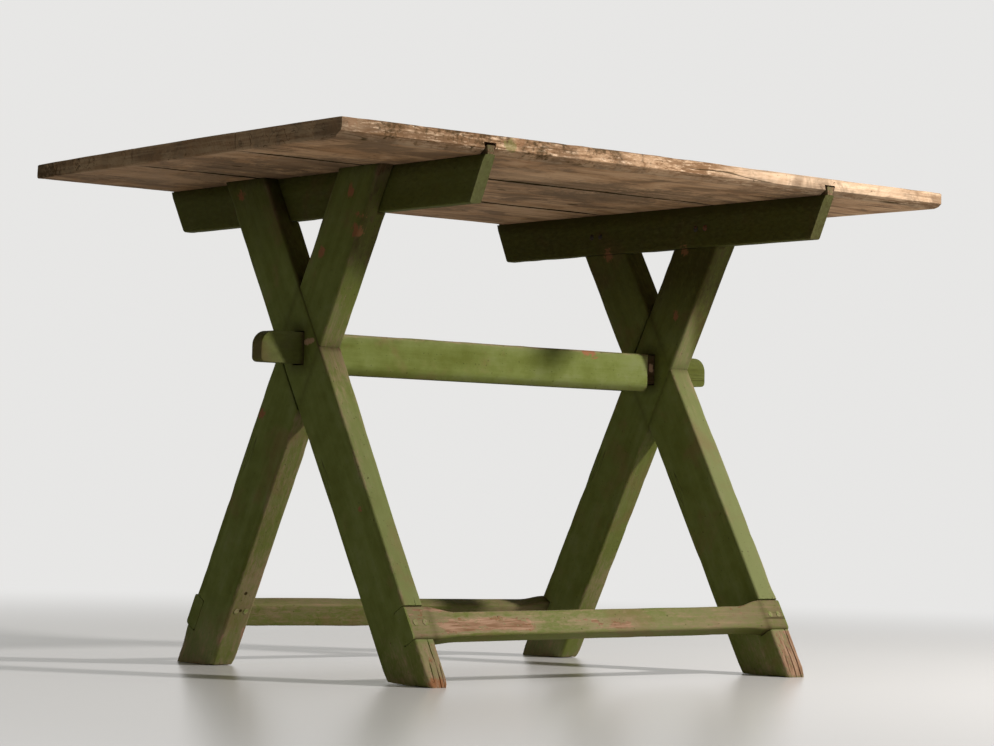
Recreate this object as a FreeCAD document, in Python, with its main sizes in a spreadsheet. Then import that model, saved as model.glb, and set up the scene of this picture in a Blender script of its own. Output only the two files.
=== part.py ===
import FreeCAD, Part
import math
import os
import Sketcher

# A sawbuck table: three planks on two dovetailed battens, two halved X trestles, a centre rail through
# the crossings and two foot stretchers let into the legs. X runs along the table, the front is -Y, Z is
# up, and the origin is on the floor under the middle of the top. All lengths are in millimetres.
SIZES = {
    # Top
    "top_length": 1155,
    "top_width": 774,
    "table_height": 750,
    "top_thickness": 27,
    "front_plank_width": 245,
    "back_plank_width": 267,
    "seam_gap": 1,
    "edge_bevel_height": 8,
    "edge_bevel_reach": 14,
    "top_arris": 3,
    # Battens
    "batten_thickness": 20,
    "batten_height": 65,
    "batten_end_rake": 30,
    "batten_let_in": 16,
    "tongue_neck": 12,
    "tongue_height": 15,
    "groove_clearance": 0.3,
    # Legs
    "trestle_clear_span": 644,
    "leg_width": 89,
    "leg_thickness": 40,
    "leg_arris": 4,
    "foot_front_reach": 275,
    "foot_back_reach": 252,
    "top_front_reach": 136,
    "top_back_reach": 150,
    # Centre rail
    "rail_height": 58,
    "rail_thickness": 40,
    "rail_lower_arris": 10,
    "rail_upper_arris": 4,
    "rail_shoulder_gap": 19,
    "tenon_height": 46,
    "tenon_thickness": 25,
    "ear_length": 73,
    "ear_upper_round": 22,
    "ear_lower_round": 7,
    "mortise_clearance": 0.5,
    # Foot stretchers
    "stretcher_height": 51,
    "stretcher_thickness": 24,
    "front_left_seat": 65,
    "front_right_seat": 71,
    "back_left_seat": 60,
    "back_right_seat": 55,
    "front_upper_waist": 9,
    "front_lower_waist": 3,
    "back_upper_waist": 6,
    "back_lower_waist": 5,
    "stretcher_sweep": 48,
    "back_stretcher_proud": 3,
    "notch_clearance": 0.3,
    # Wooden pegs through the stretcher ends
    "peg_diameter": 8,
    "peg_spacing": 17,
    "peg_proud": 0.6,
    # Iron nails through the battens
    "nail_diameter": 4.5,
    "nail_length": 38,
    "nail_spacing": 21,
    "nail_drop": 35,
    "nail_head_diameter": 10,
    "nail_head_height": 2.4,
    "fixing_clearance": 0.15,
    # One overrun past the surface for every cut
    "cut_overrun": 5,
}
NAIL_HEAD_CROWN_SHARE = 0.45
NAIL_POINT_SHARE = 0.3

doc = FreeCAD.newDocument("SawbuckTable")
sheet = doc.addObject("Spreadsheet::Sheet", "Sizes")
for row, (alias, length) in enumerate(SIZES.items(), start=1):
    sheet.set(f"A{row}", alias)
    sheet.set(f"B{row}", str(length))
    sheet.setAlias(f"B{row}", alias)
doc.recompute()

UNDERSIDE = "(Sizes.table_height - Sizes.top_thickness)"
INNER_FACE = "(Sizes.trestle_clear_span / 2)"
OUTER_FACE = f"({INNER_FACE} + Sizes.leg_thickness)"
BATTEN_OUTER = f"({INNER_FACE} + Sizes.batten_let_in)"
BATTEN_MIDDLE = f"({BATTEN_OUTER} - Sizes.batten_thickness / 2)"
SIDES = {"left": -1, "right": 1}


def value_of(expression):
    """The length that an expression on the sheet gives now."""
    return float(sheet.evalExpression(expression))


class LegLine:
    """The middle line of a leg from its foot to its top, as expressions in the trestle's plane."""

    def __init__(self, foot, top, outward):
        self.foot = f"({foot})"
        self.run = f"(({top}) - ({foot}))"
        self.outward = outward
        self.slant = f"sqrt({self.run} ^ 2 + {UNDERSIDE} ^ 2)"
        self.tilt = f"(-atan({self.run} / {UNDERSIDE}))"

    def middle(self, height):
        return f"({self.foot} + {self.run} * ({height}) / {UNDERSIDE})"

    def across(self, share):
        """A share of the leg's width, measured level instead of square to the leg."""
        return f"({share} * Sizes.leg_width * {self.slant} / {UNDERSIDE})"

    def outline(self):
        half = self.across("0.5")
        top = self.middle(UNDERSIDE)
        return [
            (f"{self.foot} - {half}", "0"),
            (f"{self.foot} + {half}", "0"),
            (f"{top} + {half}", UNDERSIDE),
            (f"{top} - {half}", UNDERSIDE),
        ]

    def from_seat(self, seat, out, along):
        """A point reached from a stretcher's seat on the outer edge, square to the leg, then along it."""
        edge = f"({self.middle(seat)} + {self.outward} * {self.across('0.5')})"
        out_y = f"{self.outward} * ({out}) * {UNDERSIDE} / {self.slant}"
        out_z = f"-{self.outward} * ({out}) * {self.run} / {self.slant}"
        along_y = f"({along}) * {self.run} / {self.slant}"
        along_z = f"({along}) * {UNDERSIDE} / {self.slant}"
        return f"{edge} + {out_y} + {along_y}", f"{seat} + {out_z} + {along_z}"

    def peg_height(self, seat):
        return f"({seat} + Sizes.stretcher_height / 2 * {UNDERSIDE} / {self.slant})"


LEGS = {
    "front": LegLine("-Sizes.foot_front_reach", "Sizes.top_back_reach", -1),
    "back": LegLine("Sizes.foot_back_reach", "-Sizes.top_front_reach", 1),
}
SEATS = {(side_name, foot): f"Sizes.{foot}_{side_name}_seat" for side_name in SIDES for foot in LEGS}
PROUD = {"front": "0", "back": "Sizes.back_stretcher_proud"}
RUN_SUM = f"({LEGS['front'].run} - {LEGS['back'].run})"
CROSSING_HEIGHT = f"({UNDERSIDE} * (Sizes.foot_front_reach + Sizes.foot_back_reach) / {RUN_SUM})"
CROSSING_MIDDLE = LEGS["front"].middle(CROSSING_HEIGHT)


def arc_between(start, end, radius, turn):
    """An arc under a half circle that turns left (1) or right (-1) on its way from start to end."""
    chord = end - start
    sideways = FreeCAD.Vector(-chord.y, chord.x, 0).normalize() * turn
    rise = math.sqrt(max(radius ** 2 - (chord.Length / 2) ** 2, 0))
    centre = start + chord / 2 + sideways * rise
    first, last = (start, end) if turn > 0 else (end, start)
    angles = [math.atan2(point.y - centre.y, point.x - centre.x) for point in (first, last)]
    return Part.ArcOfCircle(Part.Circle(centre, FreeCAD.Vector(0, 0, 1), radius), *angles)


def draw_loop(sketch, loop):
    """One closed outline. A corner is across, up and, where an arc leaves it, its radius and turn."""
    points = [FreeCAD.Vector(value_of(corner[0]), value_of(corner[1]), 0) for corner in loop]
    ends = []
    for index, corner in enumerate(loop):
        here = points[index]
        there = points[(index + 1) % len(loop)]
        if len(corner) == 2:
            number = sketch.addGeometry(Part.LineSegment(here, there))
            ends.append((number, 1, 2))
            continue
        radius, turn = corner[2:]
        number = sketch.addGeometry(arc_between(here, there, value_of(radius), turn))
        bend = sketch.addConstraint(Sketcher.Constraint("Radius", number, value_of(radius)))
        sketch.setExpression(f"Constraints[{bend}]", radius)
        ends.append((number, 1, 2) if turn > 0 else (number, 2, 1))
    for index, corner in enumerate(loop):
        number, first, last = ends[index]
        following, following_first = ends[(index + 1) % len(loop)][:2]
        sketch.addConstraint(Sketcher.Constraint("Coincident", number, last, following, following_first))
        for kind, place, expression in zip(("DistanceX", "DistanceY"), points[index], corner):
            fixed = sketch.addConstraint(Sketcher.Constraint(kind, number, first, place))
            sketch.setExpression(f"Constraints[{fixed}]", expression)


def new_body(name):
    return doc.addObject("PartDesign::Body", name)


def draw(body, name, role, loops, offset=None):
    """A sketch of closed outlines on one of the body's planes, moved along the normal by offset."""
    plane = next(feature for feature in body.Origin.OriginFeatures if feature.Role == role)
    sketch = body.newObject("Sketcher::SketchObject", name)
    sketch.AttachmentSupport = [(plane, "")]
    sketch.MapMode = "FlatFace"
    if offset:
        sketch.setExpression("AttachmentOffset.Base.z", offset)
    for loop in loops:
        draw_loop(sketch, loop)
    return sketch


def pad(body, sketch, length, side_type="Symmetric", turned=False):
    feature = body.newObject("PartDesign::Pad", sketch.Name + "_pad")
    feature.Profile = sketch
    feature.SideType = side_type
    feature.Reversed = turned
    feature.setExpression("Length", length)
    doc.recompute()
    return feature


def cut_through(body, sketch):
    feature = body.newObject("PartDesign::Pocket", sketch.Name + "_cut")
    feature.Profile = sketch
    feature.Type = "ThroughAll"
    feature.SideType = "Symmetric"
    return compare_cut(feature)


def cut_deep(body, sketch, depth, turned):
    feature = body.newObject("PartDesign::Pocket", sketch.Name + "_cut")
    feature.Profile = sketch
    feature.Reversed = turned
    feature.setExpression("Length", depth)
    return compare_cut(feature)


def compare_cut(feature):
    before = feature.BaseFeature.Shape.Volume
    doc.recompute()
    if feature.Shape.Volume >= before:
        raise RuntimeError(f"{feature.Name} cut nothing")
    return feature


def rectangle(low_across, low_up, high_across, high_up):
    return [(low_across, low_up), (high_across, low_up), (high_across, high_up), (low_across, high_up)]


def place(part, **expressions):
    for axis, expression in expressions.items():
        part.setExpression(f"Placement.Base.{axis}", expression)


def group(name, members):
    compound = doc.addObject("Part::Compound", name)
    compound.Links = members
    return compound


def cut_away(label, base, tools):
    """The finished piece: a body less the holes for its fixings."""
    piece = doc.addObject("Part::Cut", label)
    piece.Base = base
    piece.Tool = group(label + "_holes", tools)
    return piece


def groove_loop(side):
    """The dovetail groove in a plank for one batten's tongue, wider at the top than at the mouth."""
    middle = f"({side} * {BATTEN_MIDDLE})"
    mouth = "(Sizes.tongue_neck / 2 + Sizes.groove_clearance)"
    crown = "(Sizes.batten_thickness / 2 + Sizes.groove_clearance)"
    roof = "Sizes.tongue_height + Sizes.groove_clearance"
    flare = f"(({crown} - {mouth}) / ({roof}) * Sizes.cut_overrun)"
    return [
        (f"{middle} - {mouth} + {flare}", "-Sizes.cut_overrun"),
        (f"{middle} + {mouth} - {flare}", "-Sizes.cut_overrun"),
        (f"{middle} + {crown}", roof),
        (f"{middle} - {crown}", roof),
    ]


def end_bevel_loops(side):
    """The triangles that take off the lower bevel and the upper arris at one end of the top."""
    end = f"({side} * Sizes.top_length / 2)"
    inward = -side
    return [
        [(end, "0"), (end, "Sizes.edge_bevel_height"), (f"{end} + {inward} * Sizes.edge_bevel_reach", "0")],
        [
            (end, "Sizes.top_thickness"),
            (end, "Sizes.top_thickness - Sizes.top_arris"),
            (f"{end} + {inward} * Sizes.top_arris", "Sizes.top_thickness"),
        ],
    ]


def plank_edge(edge, outward):
    """The corners of a plank's long edge from bottom to top: bevelled outside the table, square inside."""
    if outward == 0:
        return [(edge, "0"), (edge, "Sizes.top_thickness")]
    return [
        (f"{edge} - {outward} * Sizes.edge_bevel_reach", "0"),
        (edge, "Sizes.edge_bevel_height"),
        (edge, "Sizes.top_thickness - Sizes.top_arris"),
        (f"{edge} - {outward} * Sizes.top_arris", "Sizes.top_thickness"),
    ]


def make_plank(label, front_edge, back_edge, front_outward, back_outward):
    body = new_body(label)
    section = plank_edge(back_edge, back_outward) + plank_edge(front_edge, front_outward)[::-1]
    pad(body, draw(body, label + "_section", "YZ_Plane", [section]), "Sizes.top_length")
    end_loops = [loop for side in SIDES.values() for loop in end_bevel_loops(side)]
    cut_through(body, draw(body, label + "_ends", "XZ_Plane", end_loops))
    grooves = [groove_loop(side) for side in SIDES.values()]
    cut_through(body, draw(body, label + "_grooves", "XZ_Plane", grooves))
    place(body, z=UNDERSIDE)
    return body


def make_top():
    front = "(-Sizes.top_width / 2)"
    back = "(Sizes.top_width / 2)"
    front_seam = f"({front} + Sizes.front_plank_width)"
    back_seam = f"({back} - Sizes.back_plank_width)"
    middle_front = f"({front_seam} + Sizes.seam_gap)"
    middle_back = f"({back_seam} - Sizes.seam_gap)"
    return [
        make_plank("top_plank_front", front, front_seam, -1, 0),
        make_plank("top_plank_middle", middle_front, middle_back, 0, 0),
        make_plank("top_plank_back", back_seam, back, 0, 1),
    ]


def make_batten(label, side, nail_holes):
    """A cross batten with raked ends and a dovetailed tongue along its top."""
    body = new_body(label + "_body")
    half = "(Sizes.top_width / 2)"
    foot_half = f"({half} - Sizes.batten_end_rake)"
    face = [
        (f"-{foot_half}", "-Sizes.batten_height"),
        (foot_half, "-Sizes.batten_height"),
        (half, "0"),
        (f"-{half}", "0"),
    ]
    pad(body, draw(body, label + "_face", "YZ_Plane", [face]), "Sizes.batten_thickness")
    tongue = [
        ("-Sizes.tongue_neck / 2", "0"),
        ("Sizes.tongue_neck / 2", "0"),
        ("Sizes.batten_thickness / 2", "Sizes.tongue_height"),
        ("-Sizes.batten_thickness / 2", "Sizes.tongue_height"),
    ]
    pad(body, draw(body, label + "_tongue", "XZ_Plane", [tongue]), "Sizes.top_width")
    place(body, x=f"{side} * {BATTEN_MIDDLE}", z=UNDERSIDE)
    return cut_away(label, body, nail_holes)


def chamfer_long_arrises(body, feature, line):
    run = value_of(line.run)
    rise = value_of(UNDERSIDE)
    along = FreeCAD.Vector(0, run, rise).normalize()
    names = []
    for number, edge in enumerate(feature.Shape.Edges, start=1):
        if abs(edge.tangentAt(edge.FirstParameter).dot(along)) > math.cos(math.radians(1)):
            names.append(f"Edge{number}")
    chamfer = body.newObject("PartDesign::Chamfer", body.Name + "_arrises")
    chamfer.Base = (feature, names)
    chamfer.setExpression("Size", "Sizes.leg_arris")
    doc.recompute()


def make_leg(side_name, foot, holes):
    """One leg: cut level at both ends, halved at the crossing, mortised for the rail, notched for the
    batten and the foot stretcher. The trestle's inner face is at x = 0 of the body, and the leg lies
    outside it."""
    label = f"leg_{side_name}_{foot}_foot"
    side = SIDES[side_name]
    seat = SEATS[side_name, foot]
    line = LEGS[foot]
    other = LEGS["back" if foot == "front" else "front"]
    outwards = side > 0
    body = new_body(label + "_body")
    blank = pad(body, draw(body, label + "_outline", "YZ_Plane", [line.outline()]), "Sizes.leg_thickness",
                "One side", not outwards)
    chamfer_long_arrises(body, blank, line)

    lap_start = "0" if foot == "front" else f"{side} * Sizes.leg_thickness / 2"
    lap = draw(body, label + "_lap", "YZ_Plane", [other.outline()], lap_start)
    cut_deep(body, lap, "Sizes.leg_thickness / 2", outwards)

    half_tenon = "(Sizes.tenon_thickness / 2 + Sizes.mortise_clearance)"
    mortise = rectangle(
        f"{CROSSING_MIDDLE} - {half_tenon}", f"{CROSSING_HEIGHT} - Sizes.tenon_height / 2",
        f"{CROSSING_MIDDLE} + {half_tenon}",
        f"{CROSSING_HEIGHT} + Sizes.tenon_height / 2 + Sizes.mortise_clearance")
    cut_through(body, draw(body, label + "_mortise", "YZ_Plane", [mortise]))

    reach = "(Sizes.leg_width + Sizes.cut_overrun)"
    top = line.middle(UNDERSIDE)
    housing = rectangle(f"{top} - {reach}", f"{UNDERSIDE} - Sizes.batten_height", f"{top} + {reach}",
                        f"{UNDERSIDE} + Sizes.cut_overrun")
    cut_deep(body, draw(body, label + "_housing", "YZ_Plane", [housing]), "Sizes.batten_let_in", outwards)

    depth = f"-(Sizes.stretcher_thickness - {PROUD[foot]})"
    high = "Sizes.stretcher_height + Sizes.notch_clearance"
    notch = [
        line.from_seat(seat, "Sizes.cut_overrun", "0"),
        line.from_seat(seat, depth, "0"),
        line.from_seat(seat, depth, high),
        line.from_seat(seat, "Sizes.cut_overrun", high),
    ]
    cut_through(body, draw(body, label + "_notch", "YZ_Plane", [notch]))
    place(body, x=f"{side} * {INNER_FACE}")
    return cut_away(label, body, holes)


def make_rail():
    """The centre rail: full section between the trestles, and a thinner tenon on through both crossings
    to an ear with rounded corners on each outside."""
    body = new_body("centre_rail")
    top = "(Sizes.tenon_height / 2)"
    bottom = f"({top} - Sizes.rail_height)"
    half = "(Sizes.rail_thickness / 2)"
    section = [
        (f"-{half} + Sizes.rail_lower_arris", bottom),
        (f"{half} - Sizes.rail_lower_arris", bottom),
        (half, f"{bottom} + Sizes.rail_lower_arris"),
        (half, f"{top} - Sizes.rail_upper_arris"),
        (f"{half} - Sizes.rail_upper_arris", top),
        (f"-{half} + Sizes.rail_upper_arris", top),
        (f"-{half}", f"{top} - Sizes.rail_upper_arris"),
        (f"-{half}", f"{bottom} + Sizes.rail_lower_arris"),
    ]
    shoulders = "Sizes.trestle_clear_span - 2 * Sizes.rail_shoulder_gap"
    pad(body, draw(body, "rail_section", "YZ_Plane", [section]), shoulders)
    end = f"({OUTER_FACE} + Sizes.ear_length)"
    low = "(-Sizes.tenon_height / 2)"
    upper = "Sizes.ear_upper_round"
    lower = "Sizes.ear_lower_round"
    tenon = [
        (f"-{end} + {lower}", low),
        (f"{end} - {lower}", low, lower, 1),
        (end, f"{low} + {lower}"),
        (end, f"{top} - {upper}", upper, 1),
        (f"{end} - {upper}", top),
        (f"-{end} + {upper}", top, upper, 1),
        (f"-{end}", f"{top} - {upper}"),
        (f"-{end}", f"{low} + {lower}", lower, 1),
    ]
    pad(body, draw(body, "rail_tenon", "XZ_Plane", [tenon]), "Sizes.tenon_thickness")
    place(body, y=CROSSING_MIDDLE, z=CROSSING_HEIGHT)
    return body


def sweep_radius(drop):
    return f"((Sizes.stretcher_sweep ^ 2 + {drop} ^ 2) / (2 * {drop}))"


def make_stretcher(label, foot, holes):
    """A foot stretcher: level and of full height in its two notches, which differ in height, and swept
    down to a sloping waist between the legs. The body lies square and is tilted as a whole to the slope
    of its legs."""
    line = LEGS[foot]
    left_seat = SEATS["left", foot]
    rise = f"({SEATS['right', foot]} - {left_seat}) * {line.slant} / {UNDERSIDE}"
    body = new_body(label + "_body")
    end = OUTER_FACE
    leg = INNER_FACE
    waist = f"({leg} - Sizes.stretcher_sweep)"
    upper = f"Sizes.{foot}_upper_waist"
    lower = f"Sizes.{foot}_lower_waist"
    high = "Sizes.stretcher_height"
    face = [
        (f"-{end}", "0"),
        (f"-{leg}", "0", sweep_radius(lower), -1),
        (f"-{waist}", lower),
        (waist, f"{rise} + {lower}", sweep_radius(lower), -1),
        (leg, rise),
        (end, rise),
        (end, f"{rise} + {high}"),
        (leg, f"{rise} + {high}", sweep_radius(upper), -1),
        (waist, f"{rise} + {high} - {upper}"),
        (f"-{waist}", f"{high} - {upper}", sweep_radius(upper), -1),
        (f"-{leg}", high),
        (f"-{end}", high),
    ]
    sketch = draw(body, label + "_face", "XZ_Plane", [face])
    pad(body, sketch, "Sizes.stretcher_thickness", "One side", foot == "back")
    seat_y, seat_z = line.from_seat(left_seat, f"{PROUD[foot]} - Sizes.stretcher_thickness", "0")
    body.Placement.Rotation = FreeCAD.Rotation(FreeCAD.Vector(1, 0, 0), value_of(line.tilt))
    body.setExpression("Placement.Rotation.Angle", line.tilt)
    place(body, y=seat_y, z=seat_z)
    return cut_away(label, body, holes)


def cylinder(name, diameter, length):
    bar = doc.addObject("Part::Cylinder", name)
    bar.setExpression("Radius", f"({diameter}) / 2")
    bar.setExpression("Height", length)
    return bar


def make_pegs(side_name, foot):
    """The two pegs of one stretcher end, side by side, trimmed along the leg's slope a little proud of
    both edges, and the holes that they fill in the leg and the stretcher."""
    line = LEGS[foot]
    seat = SEATS[side_name, foot]
    label = f"stretcher_pegs_{side_name}_{foot}"
    stock = "Sizes.leg_width * 2"
    middle = f"{SIDES[side_name]} * ({INNER_FACE} + Sizes.leg_thickness / 2)"
    height = line.peg_height(seat)
    pegs, holes = [], []
    for step in (-1, 1):
        across = f"{middle} + {step} * Sizes.peg_spacing / 2"
        for members, spare in ((pegs, "0"), (holes, "2 * Sizes.fixing_clearance")):
            bar = cylinder(f"{label}_{len(members)}", f"Sizes.peg_diameter + {spare}", stock)
            bar.Placement.Rotation = FreeCAD.Rotation(FreeCAD.Vector(1, 0, 0), -90)
            place(bar, x=across, y=f"{line.middle(height)} - Sizes.leg_width", z=height)
            members.append(bar)
    slab = doc.addObject("Part::Box", label + "_slab")
    slab.setExpression("Length", "Sizes.leg_thickness")
    slab.setExpression("Width", f"Sizes.leg_width + {PROUD[foot]} + 2 * Sizes.peg_proud")
    slab.setExpression("Height", "Sizes.stretcher_height * 3")
    slab.Placement.Rotation = FreeCAD.Rotation(FreeCAD.Vector(1, 0, 0), value_of(line.tilt))
    slab.setExpression("Placement.Rotation.Angle", line.tilt)
    inner = "-(Sizes.leg_width + Sizes.peg_proud)"
    outer = f"({PROUD[foot]} + Sizes.peg_proud)"
    start_y, start_z = line.from_seat(seat, inner if foot == "back" else outer, "-Sizes.stretcher_height")
    place(slab, x=f"{middle} - Sizes.leg_thickness / 2", y=start_y, z=start_z)
    trimmed = doc.addObject("Part::Common", label)
    trimmed.Base = group(label + "_stock", pegs)
    trimmed.Tool = slab
    return trimmed, holes


def cone(name, low_radius, high_radius, height):
    bar = doc.addObject("Part::Cone", name)
    bar.setExpression("Radius1", low_radius)
    bar.setExpression("Radius2", high_radius)
    bar.setExpression("Height", height)
    return bar


def make_nails(side_name, foot):
    """The two nails of one leg top, driven outwards through the batten into the leg, and their holes."""
    side = SIDES[side_name]
    line = LEGS[foot]
    label = f"batten_nails_{side_name}_{foot}"
    height = f"{UNDERSIDE} - Sizes.nail_drop"
    head_seat = f"{side} * ({BATTEN_OUTER} - Sizes.batten_thickness)"
    outwards = FreeCAD.Rotation(FreeCAD.Vector(0, 0, 1), FreeCAD.Vector(side, 0, 0))
    inwards = FreeCAD.Rotation(FreeCAD.Vector(0, 0, 1), FreeCAD.Vector(-side, 0, 0))
    nails, holes = [], []
    for step in (-1, 1):
        name = f"{label}_{len(nails)}"
        across = f"{line.middle(height)} + {step} * Sizes.nail_spacing / 2"
        shank_radius = "Sizes.nail_diameter / 2"
        point_radius = f"{shank_radius} * {NAIL_POINT_SHARE}"
        shank = cone(name + "_shank", shank_radius, point_radius, "Sizes.nail_length")
        shank.Placement.Rotation = outwards
        head_radius = "Sizes.nail_head_diameter / 2"
        crown_radius = f"{head_radius} * {NAIL_HEAD_CROWN_SHARE}"
        head = cone(name + "_head", head_radius, crown_radius, "Sizes.nail_head_height")
        head.Placement.Rotation = inwards
        hole = cylinder(name + "_hole", "Sizes.nail_diameter + 2 * Sizes.fixing_clearance",
                        "Sizes.nail_length + Sizes.fixing_clearance")
        hole.Placement.Rotation = outwards
        for bar in (shank, head, hole):
            place(bar, x=head_seat, y=across, z=height)
        nail = doc.addObject("Part::Fuse", name)
        nail.Base = head
        nail.Tool = shank
        nails.append(nail)
        holes.append(hole)
    return group(label, nails), holes


def make_table():
    pieces = make_top()
    peg_holes, nail_holes = {}, {}
    for side_name, side in SIDES.items():
        for foot in LEGS:
            joint = (side_name, foot)
            pegs, peg_holes[joint] = make_pegs(side_name, foot)
            nails, nail_holes[joint] = make_nails(side_name, foot)
            leg = make_leg(side_name, foot, peg_holes[joint] + nail_holes[joint])
            pieces += [pegs, nails, leg]
        holes = [hole for foot in LEGS for hole in nail_holes[side_name, foot]]
        pieces.append(make_batten(f"batten_{side_name}", side, holes))
    for foot in LEGS:
        holes = [hole for side_name in SIDES for hole in peg_holes[side_name, foot]]
        pieces.append(make_stretcher(f"foot_stretcher_{foot}", foot, holes))
    pieces.append(make_rail())
    return pieces


def check_document():
    for item in doc.Objects:
        if "Invalid" in item.State or "Error" in item.State:
            raise RuntimeError(f"{item.Label} failed: {item.State}")


def write_steps(pieces):
    os.makedirs("parts", exist_ok=True)
    for piece in pieces:
        if piece.Shape.isNull() or not piece.Shape.isValid():
            raise RuntimeError(f"{piece.Label} has no valid shape")
    for piece in pieces:
        piece.Shape.exportStep(f"parts/{piece.Label}.step")
        box = piece.Shape.BoundBox
        low = [round(number, 1) for number in (box.XMin, box.YMin, box.ZMin)]
        high = [round(number, 1) for number in (box.XMax, box.YMax, box.ZMax)]
        print(piece.Label, len(piece.Shape.Solids), "solids", round(piece.Shape.Volume), low, high)


pieces = make_table()
doc.recompute()
check_document()
write_steps(pieces)
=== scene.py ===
import functools
import math

import bmesh
import bpy
from mathutils import Matrix, Vector, noise


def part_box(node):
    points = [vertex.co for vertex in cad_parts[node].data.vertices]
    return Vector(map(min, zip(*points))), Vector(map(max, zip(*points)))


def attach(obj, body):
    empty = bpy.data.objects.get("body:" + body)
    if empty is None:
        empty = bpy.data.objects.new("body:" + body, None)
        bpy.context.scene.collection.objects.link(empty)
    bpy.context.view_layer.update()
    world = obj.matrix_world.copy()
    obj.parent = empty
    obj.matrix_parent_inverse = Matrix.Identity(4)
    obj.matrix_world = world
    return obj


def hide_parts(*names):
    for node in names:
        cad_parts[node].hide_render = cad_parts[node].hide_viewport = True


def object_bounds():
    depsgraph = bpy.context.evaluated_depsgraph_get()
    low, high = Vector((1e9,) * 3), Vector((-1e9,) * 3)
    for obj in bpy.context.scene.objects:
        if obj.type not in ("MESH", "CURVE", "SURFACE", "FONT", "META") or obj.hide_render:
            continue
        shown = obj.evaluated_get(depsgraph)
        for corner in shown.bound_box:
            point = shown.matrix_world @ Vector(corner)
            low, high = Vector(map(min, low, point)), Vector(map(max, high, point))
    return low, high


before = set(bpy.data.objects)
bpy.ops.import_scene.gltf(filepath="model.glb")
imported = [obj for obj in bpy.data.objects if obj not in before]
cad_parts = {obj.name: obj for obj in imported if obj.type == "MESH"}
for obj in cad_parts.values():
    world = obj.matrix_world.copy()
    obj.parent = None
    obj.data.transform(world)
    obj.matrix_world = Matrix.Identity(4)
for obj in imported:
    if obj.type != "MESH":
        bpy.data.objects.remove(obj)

bl_info = {
    "name": "Sawbuck table",
    "version": (1, 0, 0),
    "blender": (4, 5, 0),
    "location": "3D View > Sidebar > Sawbuck",
    "description": "Dresses a sawbuck table in worn green paint and stripped pine",
    "category": "Object",
}

CAD_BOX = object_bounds()
SIDES = ("left", "right")
FEET = ("front", "back")
PLANKS = ("front", "middle", "back")
X_AXIS = Vector((1, 0, 0))
Y_AXIS = Vector((0, 1, 0))
Z_AXIS = Vector((0, 0, 1))
TOUCH = 1e-5
PARALLEL = 0.9
SHARP_ANGLE = math.radians(38)
LEG_SOLVE_ROUNDS = 16
PHOTO_WIDTH = 994
SENSOR_WIDTH = 36

# Spacing of the even cuts along, across and through the grain of each kind of piece
CUTS = {
    "plank": (0.008, 0.0125, 0.006),
    "batten": (0.012, 0.010, 0.0065),
    "leg": (0.012, 0.010, 0.010),
    "rail": (0.012, 0.009, 0.008),
    "stretcher": (0.009, 0.007, 0.006),
}
# Depth of the plane marks and of the knocks on the edges of each kind of piece
MARKS = {
    "plank": (0.0005, 0.0012),
    "batten": (0.0007, 0.0016),
    "leg": (0.0006, 0.0022),
    "rail": (0.0008, 0.0016),
    "stretcher": (0.0011, 0.0022),
}
KNOCK_REACH = 0.009
# Where in the noise each piece of wood lies
SEEDS = {
    "top_plank_front": 3.1,
    "top_plank_middle": 14.4,
    "top_plank_back": 25.7,
    "batten_left": 41.7,
    "batten_right": 51.0,
    "leg_left_front_foot": 5.2,
    "leg_left_back_foot": 13.1,
    "leg_right_front_foot": 21.0,
    "leg_right_back_foot": 28.9,
    "centre_rail": 77.1,
    "foot_stretcher_front": 23.4,
    "foot_stretcher_back": 41.1,
}


def length(name, description, default):
    return bpy.props.FloatProperty(
        name=name, description=description, default=default, unit="LENGTH", precision=4)


def angle(name, description, degrees):
    return bpy.props.FloatProperty(
        name=name, description=description, default=math.radians(degrees), subtype="ANGLE")


def power(name, description, watts):
    return bpy.props.FloatProperty(name=name, description=description, default=watts, unit="POWER")


def colour(name, description, default):
    return bpy.props.FloatVectorProperty(
        name=name, description=description, default=default, subtype="COLOR", size=3, min=0, max=1)


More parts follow.
